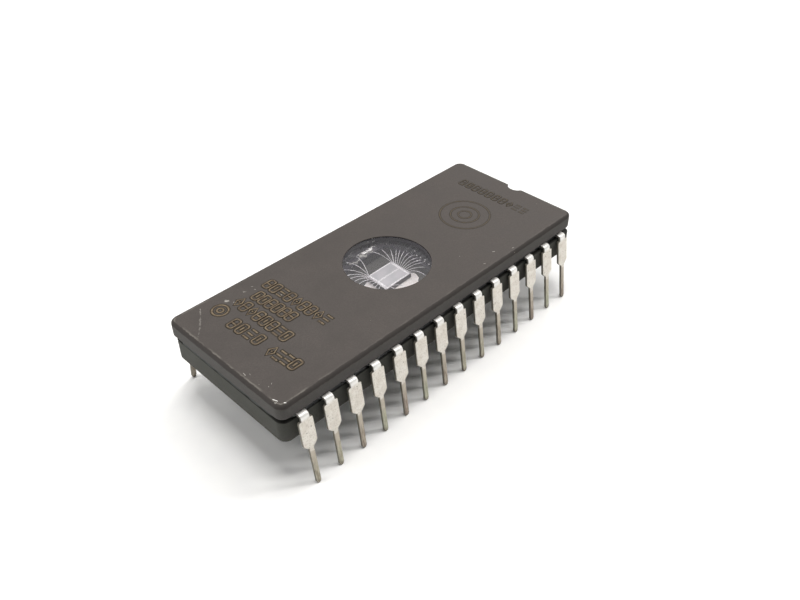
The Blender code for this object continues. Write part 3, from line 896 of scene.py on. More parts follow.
def add_base(material):
    """The pressed base with the die well, its lower rim well rounded."""
    outline = rounded_rectangle(LID_LENGTH - 2 * BASE_STEP, LID_WIDTH - 2 * BASE_STEP,
                                CORNER_RADIUS, 18)
    mesh = mesh_from(prism(turned_with_base(outline), BASE_LOW.z, BASE_HIGH.z), "base")
    mesh.materials.append(material)
    well = turned_with_base(rounded_rectangle(WELL_LENGTH, WELL_WIDTH, WELL_CORNER_RADIUS, 12))
    floor = ATTACH_LOW.z - FIT_GAP
    tool = mesh_from(prism(well, floor, BASE_HIGH.z + CUT_OVERRUN), "well")
    tool.materials.append(material)
    mesh = carve(mesh, [tool])
    round_edges(mesh, level_rim(BASE_LOW.z), BASE_LOW_EDGE, 7)
    round_edges(mesh, level_rim(BASE_HIGH.z, outside=RIM_DIVIDE), BASE_TOP_EDGE, 4)
    round_edges(mesh, level_rim(BASE_HIGH.z, inside=RIM_DIVIDE), HOLE_EDGE, 3)
    return place_piece("pressed_base", weighted(mesh), "dark_ceramic", "ceramic_base")


def turned(profile, steps, name):
    """A closed turned form from (radius, height) points that start and end on the axis."""
    bm = bmesh.new()
    rings = []
    for radius, height in profile:
        if radius < 1e-9:
            rings.append([bm.verts.new((0, 0, height))])
        else:
            rings.append([bm.verts.new((x, y, height)) for x, y in circle(radius, steps)])
    for first, second in zip(rings, rings[1:]):
        for number in range(steps):
            after = (number + 1) % steps
            corners = [first[number % len(first)], first[after % len(first)],
                       second[after % len(second)], second[number % len(second)]]
            bm.faces.new(list(dict.fromkeys(corners)))
    return mesh_from(bm, name)


def add_window(material):
    """The window: a shallow lens, fused into the lid all round."""
    radius = WINDOW_RADIUS + LENS_OVERLAP
    rim = WINDOW_HIGH.z - LENS_CROWN
    profile = [(radius * step / 24, rim + LENS_CROWN * (1 - (step / 24) ** 2))
               for step in range(25)]
    profile += [(radius * step / 12, WINDOW_LOW.z + LENS_SAG * (step / 12) ** 4)
                for step in range(12, -1, -1)]
    return place_piece("window_lens", smooth(turned(profile, 128, "lens"), 50), "window_glass",
                       "window_glass", materials=[material])


# Sealing glass

def ring_sweep(bm, path, section):
    """A closed sweep: path gives (x, y, outward normal); section(number) gives (out, z) points."""
    rings = []
    for number, (x, y, nx, ny) in enumerate(path):
        rings.append([bm.verts.new((x + nx * out, y + ny * out, z))
                      for out, z in section(number)])
    skin(bm, rings + rings[:1])


def rim_path(length, width, radius, spacing, steps, centre=(0.0, 0.0)):
    """Points along a rounded rectangle, anticlockwise, with outward normals."""
    path = []
    for number, (sx, sy) in enumerate(((1, 1), (-1, 1), (-1, -1), (1, -1))):
        corner = Vector((centre[0] + sx * (length / 2 - radius),
                         centre[1] + sy * (width / 2 - radius)))
        for step in range(steps + 1):
            angle = math.pi / 2 * (number + step / steps)
            way = Vector((math.cos(angle), math.sin(angle)))
            place = corner + way * radius
            path.append((place.x, place.y, way.x, way.y))
    full = []
    for first, second in zip(path, path[1:] + path[:1]):
        full.append(first)
        gap = Vector((second[0] - first[0], second[1] - first[1]))
        count = int(gap.length / spacing)
        for step in range(1, count):
            share = step / count
            full.append((first[0] + gap.x * share, first[1] + gap.y * share, first[2], first[3]))
    return full


def add_frit(material):
    """The seal: a hollow bead that climbs each lead's neck, and the glass ledge round the well."""
    length = SEAL_HIGH.x - SEAL_LOW.x
    width = SEAL_HIGH.y - SEAL_LOW.y
    path = rim_path(length, width, SEAL_CORNER_RADIUS, BEAD_SPACING, 14)
    low = BASE_HIGH.z - SEAL_OVERLAP
    high = LID_LOW.z + SEAL_OVERLAP
    row_end = (LEADS_PER_ROW - 1) * LEAD_PITCH / 2

    def outer_section(number):
        x, y, _, ny = path[number]
        wander = noise.noise(Vector((x, y, 0.0)) / BEAD_WANDER[0]) * BEAD_WANDER[1]
        climb = 0.0
        if abs(ny) > 0.9 and abs(x) < row_end + LEAD_PITCH / 2:
            from_lead = abs((x + row_end + LEAD_PITCH / 2) % LEAD_PITCH - LEAD_PITCH / 2)
            past = max(0.0, from_lead - NECK_WIDTH / 2)
            climb = BEAD_CLIMB[0] * math.exp(-past / BEAD_CLIMB[1])
        points = []
        for step in range(9):
            share = step / 8
            middle = math.sin(math.pi * share)
            hollow = (BEAD_PROUD - BEAD_HOLLOW * middle) + wander
            out = hollow + climb * middle ** 2
            points.append((out, low + (high - low) * share))
        return points + [(BEAD_INNER, high), (BEAD_INNER, low)]

    bm = bmesh.new()
    ring_sweep(bm, path, outer_section)
    centre = ((BASE_LOW.x + BASE_HIGH.x) / 2, (BASE_LOW.y + BASE_HIGH.y) / 2)
    well = rim_path(WELL_LENGTH, WELL_WIDTH, WELL_CORNER_RADIUS, LEDGE_SPACING, 12, centre)
    ledge_top = LEAD_TOP - LEAD_THICKNESS + LEDGE_RISE
    ledge_end = LEDGE_WIDTH + LEDGE_OVERLAP

    def ledge_section(number):
        x, y, _, ny = well[number]
        wander = noise.noise(Vector((x, y, 3.0 * MM)) / LIP_WANDER[0])
        lip = LIP_WANDER[1] * wander
        swell = LIP_SWELL[1] * (1 + noise.noise(Vector((x, y, 7.0 * MM)) / LIP_SWELL[0]))
        ridge = 0.0
        if ny > 0.9:
            along = (x / MM - PAINTED_GLINT_PLACE[0]) / RIDGE_LENGTH
            ridge = RIDGE_HEIGHT * math.exp(-along ** 4) * (1 + 0.3 * wander)
        # The lip over the well, then the ridge's slopes, then the flat part under the fingers
        edge = [(lip + 0.03 * MM, low), (lip - 0.02 * MM, low + 0.03 * MM),
                (lip - 0.01 * MM, ledge_top - 0.03 * MM),
                (lip + 0.03 * MM, ledge_top + swell * 0.6 + ridge * 0.2),
                (0.12 * MM, ledge_top + swell + ridge * 0.4)]
        edge += [(out * MM, ledge_top + ridge * share) for out, share in RIDGE_SHAPE]
        return edge + [(ledge_end, ledge_top), (ledge_end, low)]

    ring_sweep(bm, well, ledge_section)
    return place_piece("sealing_bead", smooth(mesh_from(bm, "frit")), "sealing_glass", "seal_glass",
                       materials=[material])


# Leads

def finger_tip(index):
    """The tip of a finger in the +X, +Y quarter, and the way it points to get out."""
    straight_x = WELL_LENGTH / 2 - WELL_CORNER_RADIUS
    straight_y = WELL_WIDTH / 2 - WELL_CORNER_RADIUS
    if index < SIDE_TIPS:
        x = straight_x * (index + 0.5) / SIDE_TIPS
        return Vector((x, WELL_WIDTH / 2 + TIP_SETBACK)), Vector((0, 1))
    if index == SIDE_TIPS:
        diagonal = Vector((1, 1)).normalized()
        centre = Vector((straight_x, straight_y))
        return centre + diagonal * (WELL_CORNER_RADIUS + TIP_SETBACK), diagonal
    place = QUARTER_LEADS - 1 - index
    y = straight_y * (place + 0.5) / END_TIPS
    return Vector((WELL_LENGTH / 2 + TIP_SETBACK, y)), Vector((1, 0))


def finger_rows(lead_x):
    """Centre, direction and width of the strip from the finger's tip to the seal's edge."""
    index = round(abs(lead_x) / LEAD_PITCH - 0.5)
    side = math.copysign(1, lead_x)
    tip, outward = finger_tip(index)
    start = tip + outward * TIP_STRAIGHT
    lane_angle = SIDE_LANE_ANGLE if index <= SIDE_TIPS else END_LANE_ANGLE
    reach = abs(lead_x)
    turn = Vector((reach, start.y + math.tan(lane_angle) * abs(reach - start.x)))
    edge = LID_WIDTH / 2 - SEAL_RECESS
    wide = Vector((reach, turn.y + LANE_END_SHARE * (edge - turn.y)))
    plan = [(tip + outward * out * MM, TIP_WIDTH * share) for out, share in TIP_SHAPE]
    plan += [(start, TIP_WIDTH), (turn, LANE_WIDTH), (wide, NECK_WIDTH)]
    points = [(Vector((point.x * side, point.y)), width) for point, width in plan]
    rows = []
    for number, (point, width) in enumerate(points):
        before = point - points[number - 1][0] if number else None
        after = points[number + 1][0] - point if number + 1 < len(points) else Vector((0, 1))
        after = after.normalized()
        before = before.normalized() if before else after
        way = (before + after).normalized()
        rows.append((point, way, width / max(0.5, way.dot(after))))
    return rows


def filleted(points, steps):
    """A line of (along, across, radius) points with its corners rounded."""
    line = [Vector(points[0][:2])]
    for (ax, ay, _), (bx, by, radius), (cx, cy, _) in zip(points, points[1:], points[2:]):
        corner = Vector((bx, by))
        back = (Vector((ax, ay)) - corner).normalized()
        ahead = (Vector((cx, cy)) - corner).normalized()
        half = math.acos(max(-1.0, min(1.0, back.dot(ahead)))) / 2
        reach = radius / math.tan(half)
        middle = corner + (back + ahead).normalized() * radius / math.sin(half)
        first = corner + back * reach - middle
        last = corner + ahead * reach - middle
        sweep = first.angle_signed(last)
        for step in range(steps + 1):
            turned_by = -sweep * step / steps
            line.append(middle + Matrix.Rotation(turned_by, 2) @ first)
    line.append(Vector(points[-1][:2]))
    return line


def blade_outline():
    """Distance down from the lead's top and half width, from below the bend to the point."""
    foot = SHOULDER_DROP + SHOULDER_LENGTH + SHOULDER_TAPER
    tip = LEAD_TOP - LEAD_THICKNESS * math.sin(SPLAY)
    corners = [(BEND_RADIUS, NECK_WIDTH), (SHOULDER_DROP, NECK_WIDTH),
               (SHOULDER_DROP + STAMPED_STEP, SHOULDER_WIDTH),
               (SHOULDER_DROP + SHOULDER_LENGTH, SHOULDER_WIDTH), (foot, SHOULDER_FOOT_WIDTH),
               (foot + STAMPED_STEP, PIN_WIDTH), (tip - POINT_LENGTH, PIN_WIDTH),
               (tip, POINT_WIDTH)]
    return filleted([(down, width / 2, rounding * MM)
                     for (down, width), rounding in zip(corners, BLADE_ROUNDING)], 5)


def strip_section(half_width, thickness, crown, round_edge):
    """Section of the tinned strip as (across, up) points, from its top face at zero."""
    flat = half_width - round_edge
    edge = [(flat + round_edge * math.sin(angle), round_edge * (math.cos(angle) - 1))
            for angle in (math.pi / 6, math.pi / 3)] + [(half_width, -round_edge)]
    low_edge = [(across, -thickness - up) for across, up in edge]
    top = [(flat * share, crown * (1 - share ** 2))
           for share in (1 - step / 3 for step in range(7))]
    left = [(-across, up) for across, up in edge + low_edge[::-1]]
    bottom = [(flat * share, -thickness - UNDERSIDE_CROWN * crown * (1 - share ** 2))
              for share in (step / 2 - 1 for step in range(5))]
    return top + left + bottom + low_edge + edge[::-1]


def blank_rows(lead_x):
    """The flat stamped strip as (centre, direction, width, share of solder) rows."""
    rows = [(point, way, width, 0.0) for point, way, width in finger_rows(lead_x)]
    turn = math.pi / 2 - SPLAY
    corner = LID_WIDTH / 2 + LEAD_REACH
    bend_start = corner - BEND_RADIUS * math.tan(turn / 2)
    out = Vector((0, 1))
    edge = rows[-1][0].y
    count = 8
    for step in range(1, count + 1):
        y = edge + (bend_start - edge) * step / count
        rows.append((Vector((lead_x, y)), out, NECK_WIDTH, 0.4 if y > LID_WIDTH / 2 else 0.0))
    for step in range(1, 9):
        y = bend_start + BEND_RADIUS * turn * step / 8
        rows.append((Vector((lead_x, y)), out, NECK_WIDTH, 0.5))
    bend_end = bend_start + BEND_RADIUS * turn
    drop_at_end = BEND_RADIUS * (1 - math.cos(turn))
    line = blade_outline()
    foot = SHOULDER_DROP + SHOULDER_LENGTH + SHOULDER_TAPER
    for first, second in zip(line, line[1:]):
        pieces = max(1, math.ceil((second.x - first.x) / STRIP_SPACING))
        for step in range(1, pieces + 1):
            drop, half_width = first.lerp(second, step / pieces)
            y = bend_end + (drop - drop_at_end) / math.cos(SPLAY)
            solder = 1.0 if SHOULDER_DROP < drop < foot else 0.35
            fade = min(1.0, (line[-1].x - drop) / SOLDER_FADE)
            if y > rows[-1][0].y + 1e-7:
                rows.append((Vector((lead_x, y)), out, 2 * half_width, solder * fade))
    return rows, bend_start


def lead_blank(lead_x, seed):
    """The flat, tinned strip of one lead, its top face level with the lead's top."""
    rows, bend_start = blank_rows(lead_x)
    bm = bmesh.new()
    stamped = bm.verts.layers.float.new("stamped")
    tarnish = bm.verts.layers.float.new("tarnish")
    own_tarnish = 0.5 + 0.5 * math.sin(seed * 1.7)
    rings = []
    for centre, way, width, solder in rows:
        left = Vector((-way.y, way.x))
        round_edge = min(LEAD_EDGE, width * 0.2)
        section = strip_section(width / 2, LEAD_THICKNESS, SOLDER_CROWN * solder, round_edge)
        ring = []
        for across, up in section:
            place = centre + left * across
            lump = noise.noise(Vector((place.x, place.y, up * 3 + seed * MM)) / TIN_LUMPS[0])
            fine = noise.noise(Vector((place.x, place.y, up * 3 - seed * MM)) / TIN_RIPPLE[0])
            rise = (TIN_LUMPS[1] * lump + TIN_RIPPLE[1] * fine) * MM * solder
            vert = bm.verts.new((place.x, place.y, LEAD_TOP + up + rise))
            vert[stamped] = max(0.0, (abs(across) - width / 2 + round_edge) / round_edge)
            vert[tarnish] = own_tarnish
            ring.append(vert)
        rings.append(ring)
    skin(bm, rings)
    bm.faces.new(rings[0][::-1])
    bm.faces.new(rings[-1])
    return mesh_from(bm, "blank"), bend_start


def finished_tree(group, end, geometry, finish):
    """Ends a geometry tree with real geometry in one material."""
    real = add(group, "GeometryNodeRealizeInstances", {0: geometry})
    feed(end, {0: add(group, "GeometryNodeSetMaterial", {"Geometry": real, "Material": finish})})
    return group


def press_brake_tree():
    """Bends a flat strip down over a radius, leans its pin, and turns it to its row."""
    group, put, end = new_group(
        "press_brake", "GeometryNodeTree",
        {"Strip": "Geometry", "Bend Start": 0.007, "Bend Radius": 0.0003, "Bend Angle": 1.4,
         "Strip Top": 0.0068, "Lean": (0.0, 0.0, 0.0), "Lean From": 0.0037, "Row Angle": 0.0,
         "Finish": "Material"}, {"Lead": "Geometry"})
    bend_start, radius, full = put["Bend Start"], put["Bend Radius"], put["Bend Angle"]
    x, y, z = xyz(Field(add(group, "GeometryNodeInputPosition")))
    past = calc("MAXIMUM", y - bend_start, 0.0)
    angle = calc("MINIMUM", past / radius, full)
    rest = calc("MAXIMUM", past - radius * full, 0.0)
    layer = radius + (z - put["Strip Top"])
    reach = layer * calc("SINE", angle) + rest * calc("COSINE", full)
    drop = layer * calc("COSINE", angle) - rest * calc("SINE", full)
    bent = add(group, "ShaderNodeCombineXYZ", {
        0: x, 1: calc("MINIMUM", y, bend_start) + reach, 2: put["Strip Top"] - radius + drop})
    shaped = add(group, "GeometryNodeSetPosition", {"Geometry": put["Strip"], "Position": bent})
    height = xyz(Field(add(group, "GeometryNodeInputPosition")))[2]
    share = calc("DIVIDE", put["Lean From"] - height, put["Lean From"], clamp=True)
    leaned = add(group, "GeometryNodeSetPosition", {
        "Geometry": shaped, "Offset": vector("SCALE", put["Lean"], scale=share)})
    spin = add(group, "ShaderNodeCombineXYZ", {2: put["Row Angle"]})
    placed = add(group, "GeometryNodeTransform", {"Geometry": leaned, "Rotation": spin})
    return finished_tree(group, end, placed, put["Finish"])


def run_tree(source, group, values):
    """The baked result of a geometry tree on an object, with its named inputs set."""
    modifier = source.modifiers.new(group.name, "NODES")
    modifier.node_group = group
    names = {item.name: item.identifier for item in group.interface.items_tree
             if item.in_out == "INPUT"}
    for name, value in values.items():
        modifier[names[name]] = value
    return baked(source)


def lead_places():
    """Lead number, X and row side: 1 to 14 on +Y from the notch, then back along -Y."""
    end = (LEADS_PER_ROW - 1) * LEAD_PITCH / 2
    for number in range(1, 2 * LEADS_PER_ROW + 1):
        place = number - 1 if number <= LEADS_PER_ROW else 2 * LEADS_PER_ROW - number
        side = 1 if number <= LEADS_PER_ROW else -1
        yield number, end - place * LEAD_PITCH, side


def add_leads(material):
    """28 stamped, tinned and bent leads, each in place of its plain solid."""
    group = press_brake_tree()
    draw = random.Random(5)
    foot = LEAD_TOP - SHOULDER_DROP - SHOULDER_LENGTH - SHOULDER_TAPER
    for number, x, side in lead_places():
        mesh, bend_start = lead_blank(x * side, number * 5.3)
        source = link(bpy.data.objects.new("blank", mesh))
        turn = math.pi / 2 - SPLAY + math.radians(draw.uniform(0.0, 0.35))
        lean = Vector((draw.uniform(-0.03, 0.03), 0, 0)) * MM
        formed = run_tree(source, group, {
            "Bend Start": bend_start, "Bend Radius": BEND_RADIUS, "Bend Angle": turn,
            "Strip Top": LEAD_TOP, "Lean": lean, "Lean From": foot,
            "Row Angle": 0.0 if side > 0 else math.pi, "Finish": material})
        place_piece(f"formed_lead_{number:02d}", smooth(formed, 60), "tinned_lead",
                    f"lead_{number:02d}")


# Die, attach metal and bond wires

def box_verts(bm, low, high):
    made = bmesh.ops.create_cube(bm, size=1.0)["verts"]
    bmesh.ops.scale(bm, vec=high - low, verts=made)
    bmesh.ops.translate(bm, vec=(low + high) / 2, verts=made)
    return made


def add_die(silicon, metal):
    """The die: bevelled plate, two array fields, a bright frame line and bond pads."""
    centre = Vector((DIE_SHIFT, 0, 0))
    half = Vector((DIE_LENGTH / 2, DIE_WIDTH / 2, 0))
    bm = bmesh.new()
    box_verts(bm, centre - half + Vector((0, 0, DIE_LOW)), centre + half + Vector((0, 0, DIE_TOP)))
    bmesh.ops.bevel(bm, geom=bm.edges[:], offset=DIE_EDGE, segments=2, profile=0.5,
                    affect="EDGES")
    layer = Vector((0, 0, METAL_LAYER))
    top = Vector((0, 0, DIE_TOP))
    pad_band = 0.30 * MM
    side_margin = 0.10 * MM
    stripe = 0.10 * MM
    for side in (1, -1):
        edge = side * (DIE_WIDTH / 2 - side_margin)
        first = Vector((-DIE_LENGTH / 2 + pad_band, side * stripe, 0))
        last = Vector((DIE_LENGTH / 2 - pad_band, edge, 0))
        low = Vector((first.x, min(first.y, last.y), 0))
        high = Vector((last.x, max(first.y, last.y), 0))
        box_verts(bm, centre + low + top - layer, centre + high + top + layer)
    silicon_faces = len(bm.faces)
    line = 0.035 * MM
    for side in (1, -1):
        y = side * (DIE_WIDTH / 2 - line)
        box_verts(bm, centre + top + Vector((-DIE_LENGTH / 2 + line, y - line / 2, 0)) - layer,
                  centre + top + Vector((DIE_LENGTH / 2 - line, y + line / 2, 0)) + layer)
        x = side * (DIE_LENGTH / 2 - pad_band + line)
        box_verts(bm, centre + top + Vector((x - line / 2, -DIE_WIDTH / 2 + line, 0)) - layer,
                  centre + top + Vector((x + line / 2, DIE_WIDTH / 2 - line, 0)) + layer)
    for pad in pad_places():
        low = Vector((pad.x - PAD_SIZE / 2, pad.y - PAD_SIZE / 2, DIE_TOP)) - layer
        high = Vector((pad.x + PAD_SIZE / 2, pad.y + PAD_SIZE / 2, DIE_TOP)) + layer * 0.8
        box_verts(bm, low, high)
    bm.faces.ensure_lookup_table()
    for face in bm.faces[silicon_faces:]:
        face.material_index = 1
    return place_piece("silicon_die", smooth(mesh_from(bm, "die"), 30), "silicon",
                       "die_with_bond_wires", materials=[silicon, metal])


def pad_places():
    """Bond pads, 14 along each short edge of the die, in the order of the wires."""
    per_end = 2 * QUARTER_LEADS
    pitch = (DIE_WIDTH - 2 * PAD_MARGIN) / (per_end - 1)
    for end in (1, -1):
        for place in range(per_end):
            yield Vector((DIE_SHIFT + end * (DIE_LENGTH / 2 - PAD_MARGIN),
                          DIE_WIDTH / 2 - PAD_MARGIN - place * pitch, DIE_TOP))


def wire_runs():
    """Each bond wire as points from its ball on the pad to its wedge on the finger."""
    per_end = 2 * QUARTER_LEADS
    landing_z = LEAD_TOP + WIRE_DIAMETER / 2
    points_per_wire = 14
    for number, pad in enumerate(pad_places()):
        end = 1 if number < per_end else -1
        place = number % per_end
        side = 1 if place < QUARTER_LEADS else -1
        index = place if place < QUARTER_LEADS else per_end - 1 - place
        tip, outward = finger_tip(index)
        landing = tip + outward * WIRE_LANDING
        landing = Vector((end * landing.x, side * landing.y, landing_z))
        run = []
        for step in range(points_per_wire):
            share = step / (points_per_wire - 1)
            point = pad.lerp(landing, share)
            point.z += WIRE_LOOP * math.sin(math.pi * share) ** LOOP_FLATNESS
            run.append(point)
        yield run


def wire_tree():
    """Bond wires from their centre lines: round wire, a ball at the pad, a wedge at the finger."""
    group, put, end = new_group(
        "wire_bonds", "GeometryNodeTree",
        {"Lines": "Geometry", "Wire Radius": 0.00002, "Ball Radius": 0.00005,
         "Wedge Length": 0.0001, "Finish": "Material"}, {"Wires": "Geometry"})
    ring = add(group, "GeometryNodeCurvePrimitiveCircle", {"Resolution": 8,
                                                           "Radius": put["Wire Radius"]})
    tube = add(group, "GeometryNodeCurveToMesh", {"Curve": put["Lines"], "Profile Curve": ring,
                                                  "Fill Caps": True})
    tangent = Field(add(group, "GeometryNodeInputTangent"))
    aim = add(group, "FunctionNodeAlignEulerToVector", {
        "Vector": vector("MULTIPLY", tangent, (1.0, 1.0, 0.0))}, axis="X")
    bonds = []
    for size, shape, at_start, more in (
            (put["Ball Radius"], (1.0, 1.0, 0.6), 1, {}),
            (put["Wedge Length"], (1.0, 0.5, 0.22), 0, {"Rotation": aim})):
        place = add(group, "GeometryNodeCurveEndpointSelection", {
            "Start Size": at_start, "End Size": 1 - at_start})
        lump = add(group, "GeometryNodeMeshIcoSphere", {"Radius": size, "Subdivisions": 3})
        bonds.append(add(group, "GeometryNodeInstanceOnPoints", {
            "Points": put["Lines"], "Selection": place, "Instance": lump, "Scale": shape, **more}))
    return finished_tree(group, end, joined(group, (tube, *bonds)), put["Finish"])


def add_wires(material):
    curve = bpy.data.curves.new("bond_lines", "CURVE")
    curve.dimensions = "3D"
    for run in wire_runs():
        spline = curve.splines.new("POLY")
        spline.points.add(len(run) - 1)
        for knot, point in zip(spline.points, run):
            knot.co = (*point, 1)
    source = link(bpy.data.objects.new("bond_lines", curve))
    mesh = run_tree(source, wire_tree(), {
        "Wire Radius": WIRE_DIAMETER / 2, "Ball Radius": WIRE_DIAMETER * 1.15,
        "Wedge Length": WIRE_DIAMETER * 2.4, "Finish": material})
    return place_piece("bond_wires", smooth(mesh, 60), "silicon", "die_with_bond_wires")


# Metal film round the die: corners of its outline in millimetres, its thickness in millimetres,
# and the length of its waves with their height in millimetres
# The outline follows the lit part of the film: its far side, in shade, is left out, so its edge
# there is painted shade
LIT_FILM_EDGE = ((1.75, 1.0), (1.82, -0.55), (2.45, -0.95), (2.35, -1.55), (1.30, -2.25), (0.2, -2.10),
             (-0.9, -2.35), (-1.9, -2.10), (-2.5, -1.30), (-2.4, -0.3), (-2.2, 0.5), (-1.9, 1.0),
             (-1.2, 1.15), (0.2, 1.10))
FILM_THICKNESS = 0.045
FILM_LUMPS = (0.16 * MM, 0.020)
FILM_SWELL = (0.5 * MM, 0.02)


def film_reach(angle, centre):
    """How far the metal film goes out from its centre in a direction."""
    edge = sorted((math.atan2(y - centre.y, x - centre.x), math.hypot(x - centre.x, y - centre.y))
                  for x, y in LIT_FILM_EDGE)
    edge = [(edge[-1][0] - 2 * math.pi, edge[-1][1]), *edge, (edge[0][0] + 2 * math.pi, edge[0][1])]
    for (first, near), (second, far) in zip(edge, edge[1:]):
        if first <= angle <= second:
            return near + (far - near) * (angle - first) / (second - first)


def add_attach(material):
    """The metallised well floor: a ragged, lumpy film on the near side of the die, drawn only where
    it is lit; its part in shade is left out.
    """
    centre = Vector((DIE_SHIFT / MM, -0.5))
    rings = 16
    steps = 220
    bm = bmesh.new()
    base = ATTACH_LOW.z
    loops = []
    for ring in range(1, rings + 1):
        share = ring / rings
        loop = []
        for step in range(steps):
            angle = 2 * math.pi * step / steps - math.pi
            way = Vector((math.cos(angle), math.sin(angle)))
            reach = film_reach(angle, centre)
            ragged = noise.noise(Vector((way.x * 2.1, way.y * 2.1, 4.0)))
            fine = noise.noise(Vector((way.x * 9.0, way.y * 9.0, 9.0)))
            reach *= 1 + (0.04 * ragged + 0.03 * fine) * share ** 2
            place = (centre + way * reach * share) * MM
            lumps = noise.noise(Vector((place.x, place.y, 0.0)) / FILM_LUMPS[0])
            broad = noise.noise(Vector((place.x, place.y, 5.0 * MM)) / FILM_SWELL[0])
            rise = (FILM_THICKNESS + FILM_LUMPS[1] * lumps + FILM_SWELL[1] * broad) * MM
            edge = 1 - share ** 10
            loop.append(bm.verts.new((place.x, place.y, base + rise * edge)))
        loops.append(loop)
    hub = bm.verts.new((centre.x * MM, centre.y * MM, base + 0.04 * MM))
    under = bm.verts.new((centre.x * MM, centre.y * MM, base))
    skin(bm, loops)
    for step in range(steps):
        after = (step + 1) % steps
        bm.faces.new((hub, loops[0][step], loops[0][after]))
        bm.faces.new((under, loops[-1][after], loops[-1][step]))
    return place_piece("attach_metal", smooth(mesh_from(bm, "attach"), 60), "attach_metal",
                       "die_attach", materials=[material])


# Print on the lid: plain outlined marks that spell nothing

LOZENGE_SHAPE = (1.0, 0.52, 1.0)


def mark_tree():
    """Plain boxes, bars and lozenges, one on each point, picked by a fixed seed."""
    group, put, end = new_group(
        "print_marks", "GeometryNodeTree",
        {"Points": "Geometry", "Mark Height": 0.0012, "Mark Width": 0.0006, "Line Width": 0.0001,
         "Line Height": 0.00001, "Seed": 3, "Finish": "Material"}, {"Marks": "Geometry"})
    tall, wide, thick = put["Mark Height"], put["Mark Width"], put["Line Width"]
    line = add(group, "GeometryNodeCurvePrimitiveQuadrilateral", {
        "Width": thick, "Height": put["Line Height"]})

    def ribbon(curve):
        return add(group, "GeometryNodeCurveToMesh", {"Curve": curve, "Profile Curve": line})

    def bar(height_share, width_share, at):
        """A bar with its size and place as shares of the mark, each as thick as a line."""
        size = add(group, "ShaderNodeCombineXYZ", {
            0: thick + tall * height_share, 1: thick + wide * width_share, 2: put["Line Height"]})
        block = add(group, "GeometryNodeMeshCube", {"Size": size})
        shift = add(group, "ShaderNodeCombineXYZ", {0: tall * at})
        return add(group, "GeometryNodeTransform", {"Geometry": block, "Translation": shift})

    box = add(group, "GeometryNodeCurvePrimitiveQuadrilateral", {"Width": tall, "Height": wide})
    box = ribbon(add(group, "GeometryNodeFilletCurve", {
        "Curve": box, "Count": 3, "Radius": wide * 0.3, "Limit Radius": True}, mode="POLY"))
    lozenge = add(group, "GeometryNodeCurvePrimitiveCircle", {"Resolution": 4,
                                                              "Radius": tall * 0.5})
    lozenge = ribbon(add(group, "GeometryNodeTransform", {"Geometry": lozenge,
                                                          "Scale": LOZENGE_SHAPE}))
    shapes = [add(group, "GeometryNodeGeometryToInstance", {0: joined(group, parts)})
              for parts in ((box, bar(0.0, 0.5, 0.0)), (box, bar(0.3, 0.0, 0.0)),
                            [bar(0.0, 0.8, at) for at in (-0.42, 0.0, 0.42)],
                            (lozenge, bar(0.0, 0.0, 0.0)))]
    pick = add(group, "FunctionNodeRandomValue", {"Min": 0, "Max": len(shapes) - 1,
                                                  "Seed": put["Seed"]}, data_type="INT")
    marks = add(group, "GeometryNodeInstanceOnPoints", {
        "Points": put["Points"], "Instance": joined(group, shapes), "Pick Instance": True,
        "Instance Index": pick})
    return finished_tree(group, end, marks, put["Finish"])


def mark_points(rows, height):
    """Evenly spaced points along rows given as (first x, y, last x, y, count) in millimetres."""
    points = []
    for first_x, first_y, last_x, last_y, count in rows:
        first, last = Vector((first_x, first_y, 0)) * MM, Vector((last_x, last_y, 0)) * MM
        points += [first.lerp(last, number / (count - 1)) + Vector((0, 0, height))
                   for number in range(count)]
    mesh = bpy.data.meshes.new("mark_points")
    mesh.from_pydata(points, [], [])
    return link(bpy.data.objects.new("mark_points", mesh))


# Rows of marks as (first x, y, last x, y, count) and rings as (x, y, radius), in millimetres
NEAR_ROWS = ((-9.50, 5.00, -9.25, -2.11, 9), (-11.20, 4.40, -10.97, 0.27, 6),
             (-12.80, 4.88, -12.83, -1.36, 8), (-14.84, 2.93, -14.64, -0.09, 4),
             (-14.79, -1.93, -14.47, -4.41, 4))
NEAR_RINGS = ((-14.61, 5.14, 0.70), (-14.61, 5.14, 0.28))
FAR_ROWS = ((15.3, 4.1, 15.25, -3.7, 10),)
FAR_RINGS = ((10.76, 0.03, 2.45), (10.76, 0.03, 1.40), (10.76, 0.03, 0.65))
RING_STEPS = 48

# Each block: rows, rings, mark height and width, seed, and for its marks and for the darker rim
# round them the width of the lines and two tones of ink
PRINT_BLOCKS = {
    "near": (NEAR_ROWS, NEAR_RINGS, 1.19 * MM, 0.64 * MM, 3,
             (0.13 * MM, "gold_ink", (124, 109, 89), (90, 77, 64)),
             (0.34 * MM, "ink_rim", (50, 45, 36), (66, 60, 52))),
    "far": (FAR_ROWS, FAR_RINGS, 1.0 * MM, 0.50 * MM, 8,
            (0.10 * MM, "faint_ink", (84, 74, 60), (72, 65, 58)),
            (0.26 * MM, "faint_rim", (54, 50, 44), (66, 62, 57))),
}


def ring_band(bm, x, y, inner, outer, low, high):
    """A flat ring."""
    loops = [[bm.verts.new((*point, z)) for point in circle(radius, RING_STEPS, (x, y))]
             for radius, z in ((inner, low), (outer, low), (outer, high), (inner, high))]
    skin(bm, loops + loops[:1])


